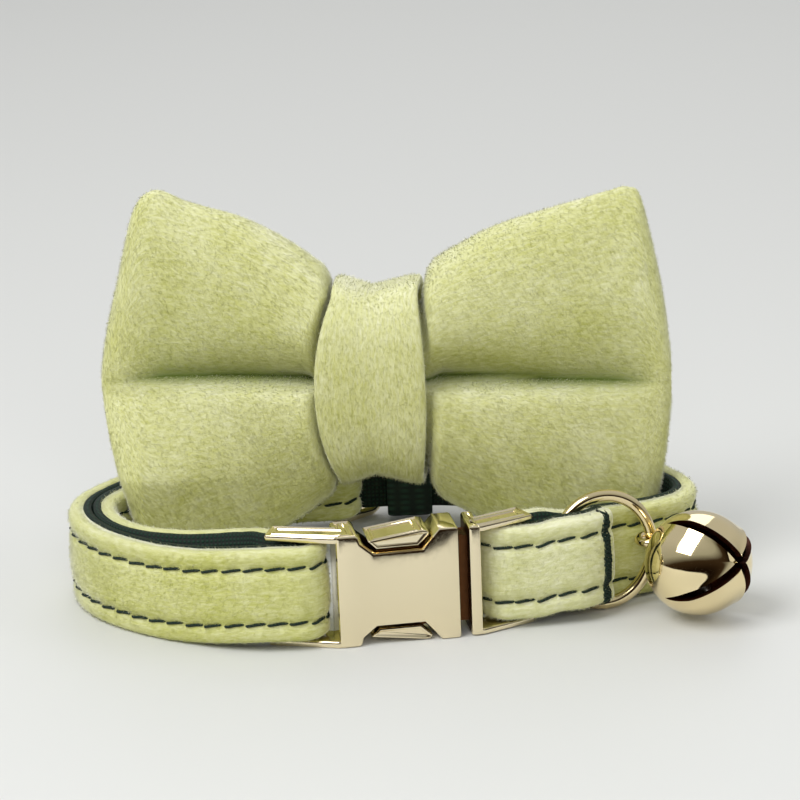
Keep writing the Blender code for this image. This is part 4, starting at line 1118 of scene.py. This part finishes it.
# %% Pile
PILE_LONG = 0.42 * MM
PILE_WIDE = 0.085 * MM
PILE_LEAN = 1.5


def pile(name, points, count, seed, lie, material, ring_u=False, fold_and_crease_shade=None):
    """Blades: root pair and tip = root + length * (normal + lean * lie + jitter), unit length."""
    random = np.random.default_rng(seed)
    if ring_u:
        points = np.concatenate([points, points[:1]], axis=0)
    points = np.concatenate([points, points[:, :1]], axis=1)
    one, two, three, four = points[:-1, :-1], points[1:, :-1], points[:-1, 1:], points[1:, 1:]
    cross = np.cross(four - one, three - two)
    area = np.linalg.norm(cross, axis=-1)
    normal = cross / np.maximum(area, 1e-15)[..., None]
    share = area.ravel() / area.sum()
    cells = np.searchsorted(np.cumsum(share), random.random(count) * 0.999999)
    i, j = np.unravel_index(cells, area.shape)
    s, t = random.random((2, count, 1))
    near, far = one[i, j] * (1 - s) + two[i, j] * s, three[i, j] * (1 - s) + four[i, j] * s
    root = near * (1 - t) + far * t
    outward = one - points.mean(axis=1, keepdims=True)[:-1]
    outside = np.sign(np.sum(normal * outward, axis=-1) * area).sum()
    up = normal[i, j] * np.sign(outside)
    lie = np.array(lie)
    way = lie - up * (up @ lie)[:, None]
    jitter = random.normal(0.0, 0.35, (count, 3))
    tip = unit(up + PILE_LEAN * way + jitter)
    flat = unit(np.cross(up, tip)) * PILE_WIDE / 2
    long = PILE_LONG * random.uniform(0.6, 1.2, (count, 1))
    if fold_and_crease_shade is not None:
        long *= 1.0 - 0.85 * fold_and_crease_shade[i, j][:, None]
    root = root - 0.03 * MM * up
    corners = np.stack([root + flat, root - flat, root + tip * long], axis=1)
    shade = unit(up + 0.16 * jitter + 0.10 * way)
    mesh = bpy.data.meshes.new(name)
    mesh.vertices.add(3 * count)
    mesh.vertices.foreach_set("co", corners.astype(np.float32).ravel())
    mesh.loops.add(3 * count)
    mesh.loops.foreach_set("vertex_index", np.arange(3 * count, dtype=np.int32))
    mesh.polygons.add(count)
    mesh.polygons.foreach_set("loop_start", 3 * np.arange(count, dtype=np.int32))
    mesh.update()
    along, around = lengths(points, 0) / MM, lengths(points, 1) / MM
    spot = np.concatenate([along[i][:, None] * (1 - s) + along[i + 1][:, None] * s,
                           around[j][:, None] * (1 - t) + around[j + 1][:, None] * t], axis=1)
    lay_uv(mesh, np.repeat(spot, 3, axis=0))
    piece = smooth_piece(name, mesh, material)
    mesh.normals_split_custom_set_from_vertices(np.repeat(shade, 3, axis=0).tolist())
    # The blades carry the painted crease shade of the cloth under them.
    if fold_and_crease_shade is not None:
        store_crease_shade(mesh, np.repeat(fold_and_crease_shade[i, j], 3))
    return piece


bow_pile = pile("bow_pile", bow_grid, 150000, 51, (0.5, 0.0, -0.6), velvet_wing, fold_and_crease_shade=bow_crease_shade)
knot_pile = pile("knot_pile", knot_grid, 30000, 52, (0.0, 0.0, -1.0), velvet_knot, ring_u=True)
strap_pile = pile("strap_pile", strap_grid, 110000, 53, (-0.6, 0.0, -0.5), velvet_strap)
tab_pile = pile("tab_pile", tab_grid, 24000, 54, (-0.6, 0.0, -0.5), velvet_tab)
for blades, slot_name in (
    (bow_pile, "bow_body"), (knot_pile, "bow_knot"), (strap_pile, "strap_velvet"), (tab_pile, "tab_velvet")
):
    stand_for(blades, slot_name)

# %% [markdown]
# The collar lies on a plain pale table under soft light. One large lamp from the upper left
# gives the form, a weaker one from the right fills the shade. The room around is bright above
# and dark in front, and that dark is what the gold plating mirrors.

# %% Floor, lights and room
floor_mesh = bpy.data.meshes.new("floor")
floor_mesh.from_pydata([(-2, -2, 0), (2, -2, 0), (2, 2, 0), (-2, 2, 0)], [], [(0, 1, 2, 3)])
floor = placed("floor", floor_mesh)
floor_paint, floor_tree, floor_shader = blank("pale matt table")
look(floor_shader, Base_Color=linear("#D8D9D7"), Roughness=0.6)
floor_mesh.materials.append(floor_paint)


def soft_lamp(name, place, size, power, code="#FFFFFF", mirrored=True):
    """A square area lamp that faces the collar's middle."""
    lamp = bpy.data.lights.new(name, "AREA")
    lamp.shape = "SQUARE"
    lamp.size = size
    lamp.energy = power
    lamp.color = linear(code)[:3]
    holder = placed(name, lamp)
    holder.location = place
    holder.rotation_euler = (LAMP_AIM - Vector(place)).to_track_quat("-Z", "Y").to_euler()
    holder.visible_glossy = mirrored


LAMP_AIM = Vector((0.0, 0.0, 0.02))
soft_lamp("key lamp", (-0.32, -0.30, 0.54), 0.40, 3.1)
soft_lamp("front lamp", (0.05, -0.62, 0.34), 0.30, 1.1, mirrored=False)
soft_lamp("fill lamp", (0.50, -0.10, 0.30), 0.30, 0.5, "#FBFDFF", mirrored=False)
soft_lamp("back lamp", (0.05, 0.50, 0.45), 0.40, 0.6)

world = bpy.data.worlds.new("studio room")
world.use_nodes = True
bpy.context.scene.world = world
room_tree = world.node_tree
room_place = node(room_tree, "ShaderNodeTexCoord").outputs["Generated"]
parts = node(room_tree, "ShaderNodeSeparateXYZ", {"Vector": room_place})
tilted = math_of(room_tree, "MULTIPLY", parts.outputs["Y"], 0.55)
tilted = math_of(room_tree, "ADD", parts.outputs["Z"], tilted)
level = spread_over(room_tree, tilted, -0.45, 0.75, 0.0, 1.0)
room_tones = node(room_tree, "ShaderNodeValToRGB", {"Fac": level})
stops(room_tones.color_ramp, [(0.0, "#22160D"), (0.30, "#4A3A2A"), (0.52, "#D2D4CE"), (1.0, "#F7F7F7")])
background = room_tree.nodes["Background"]
room_tree.links.new(room_tones.outputs["Color"], background.inputs["Color"])
background.inputs["Strength"].default_value = 0.58
bpy.context.scene.view_settings.view_transform = "Standard"
print("four lamps and a room")
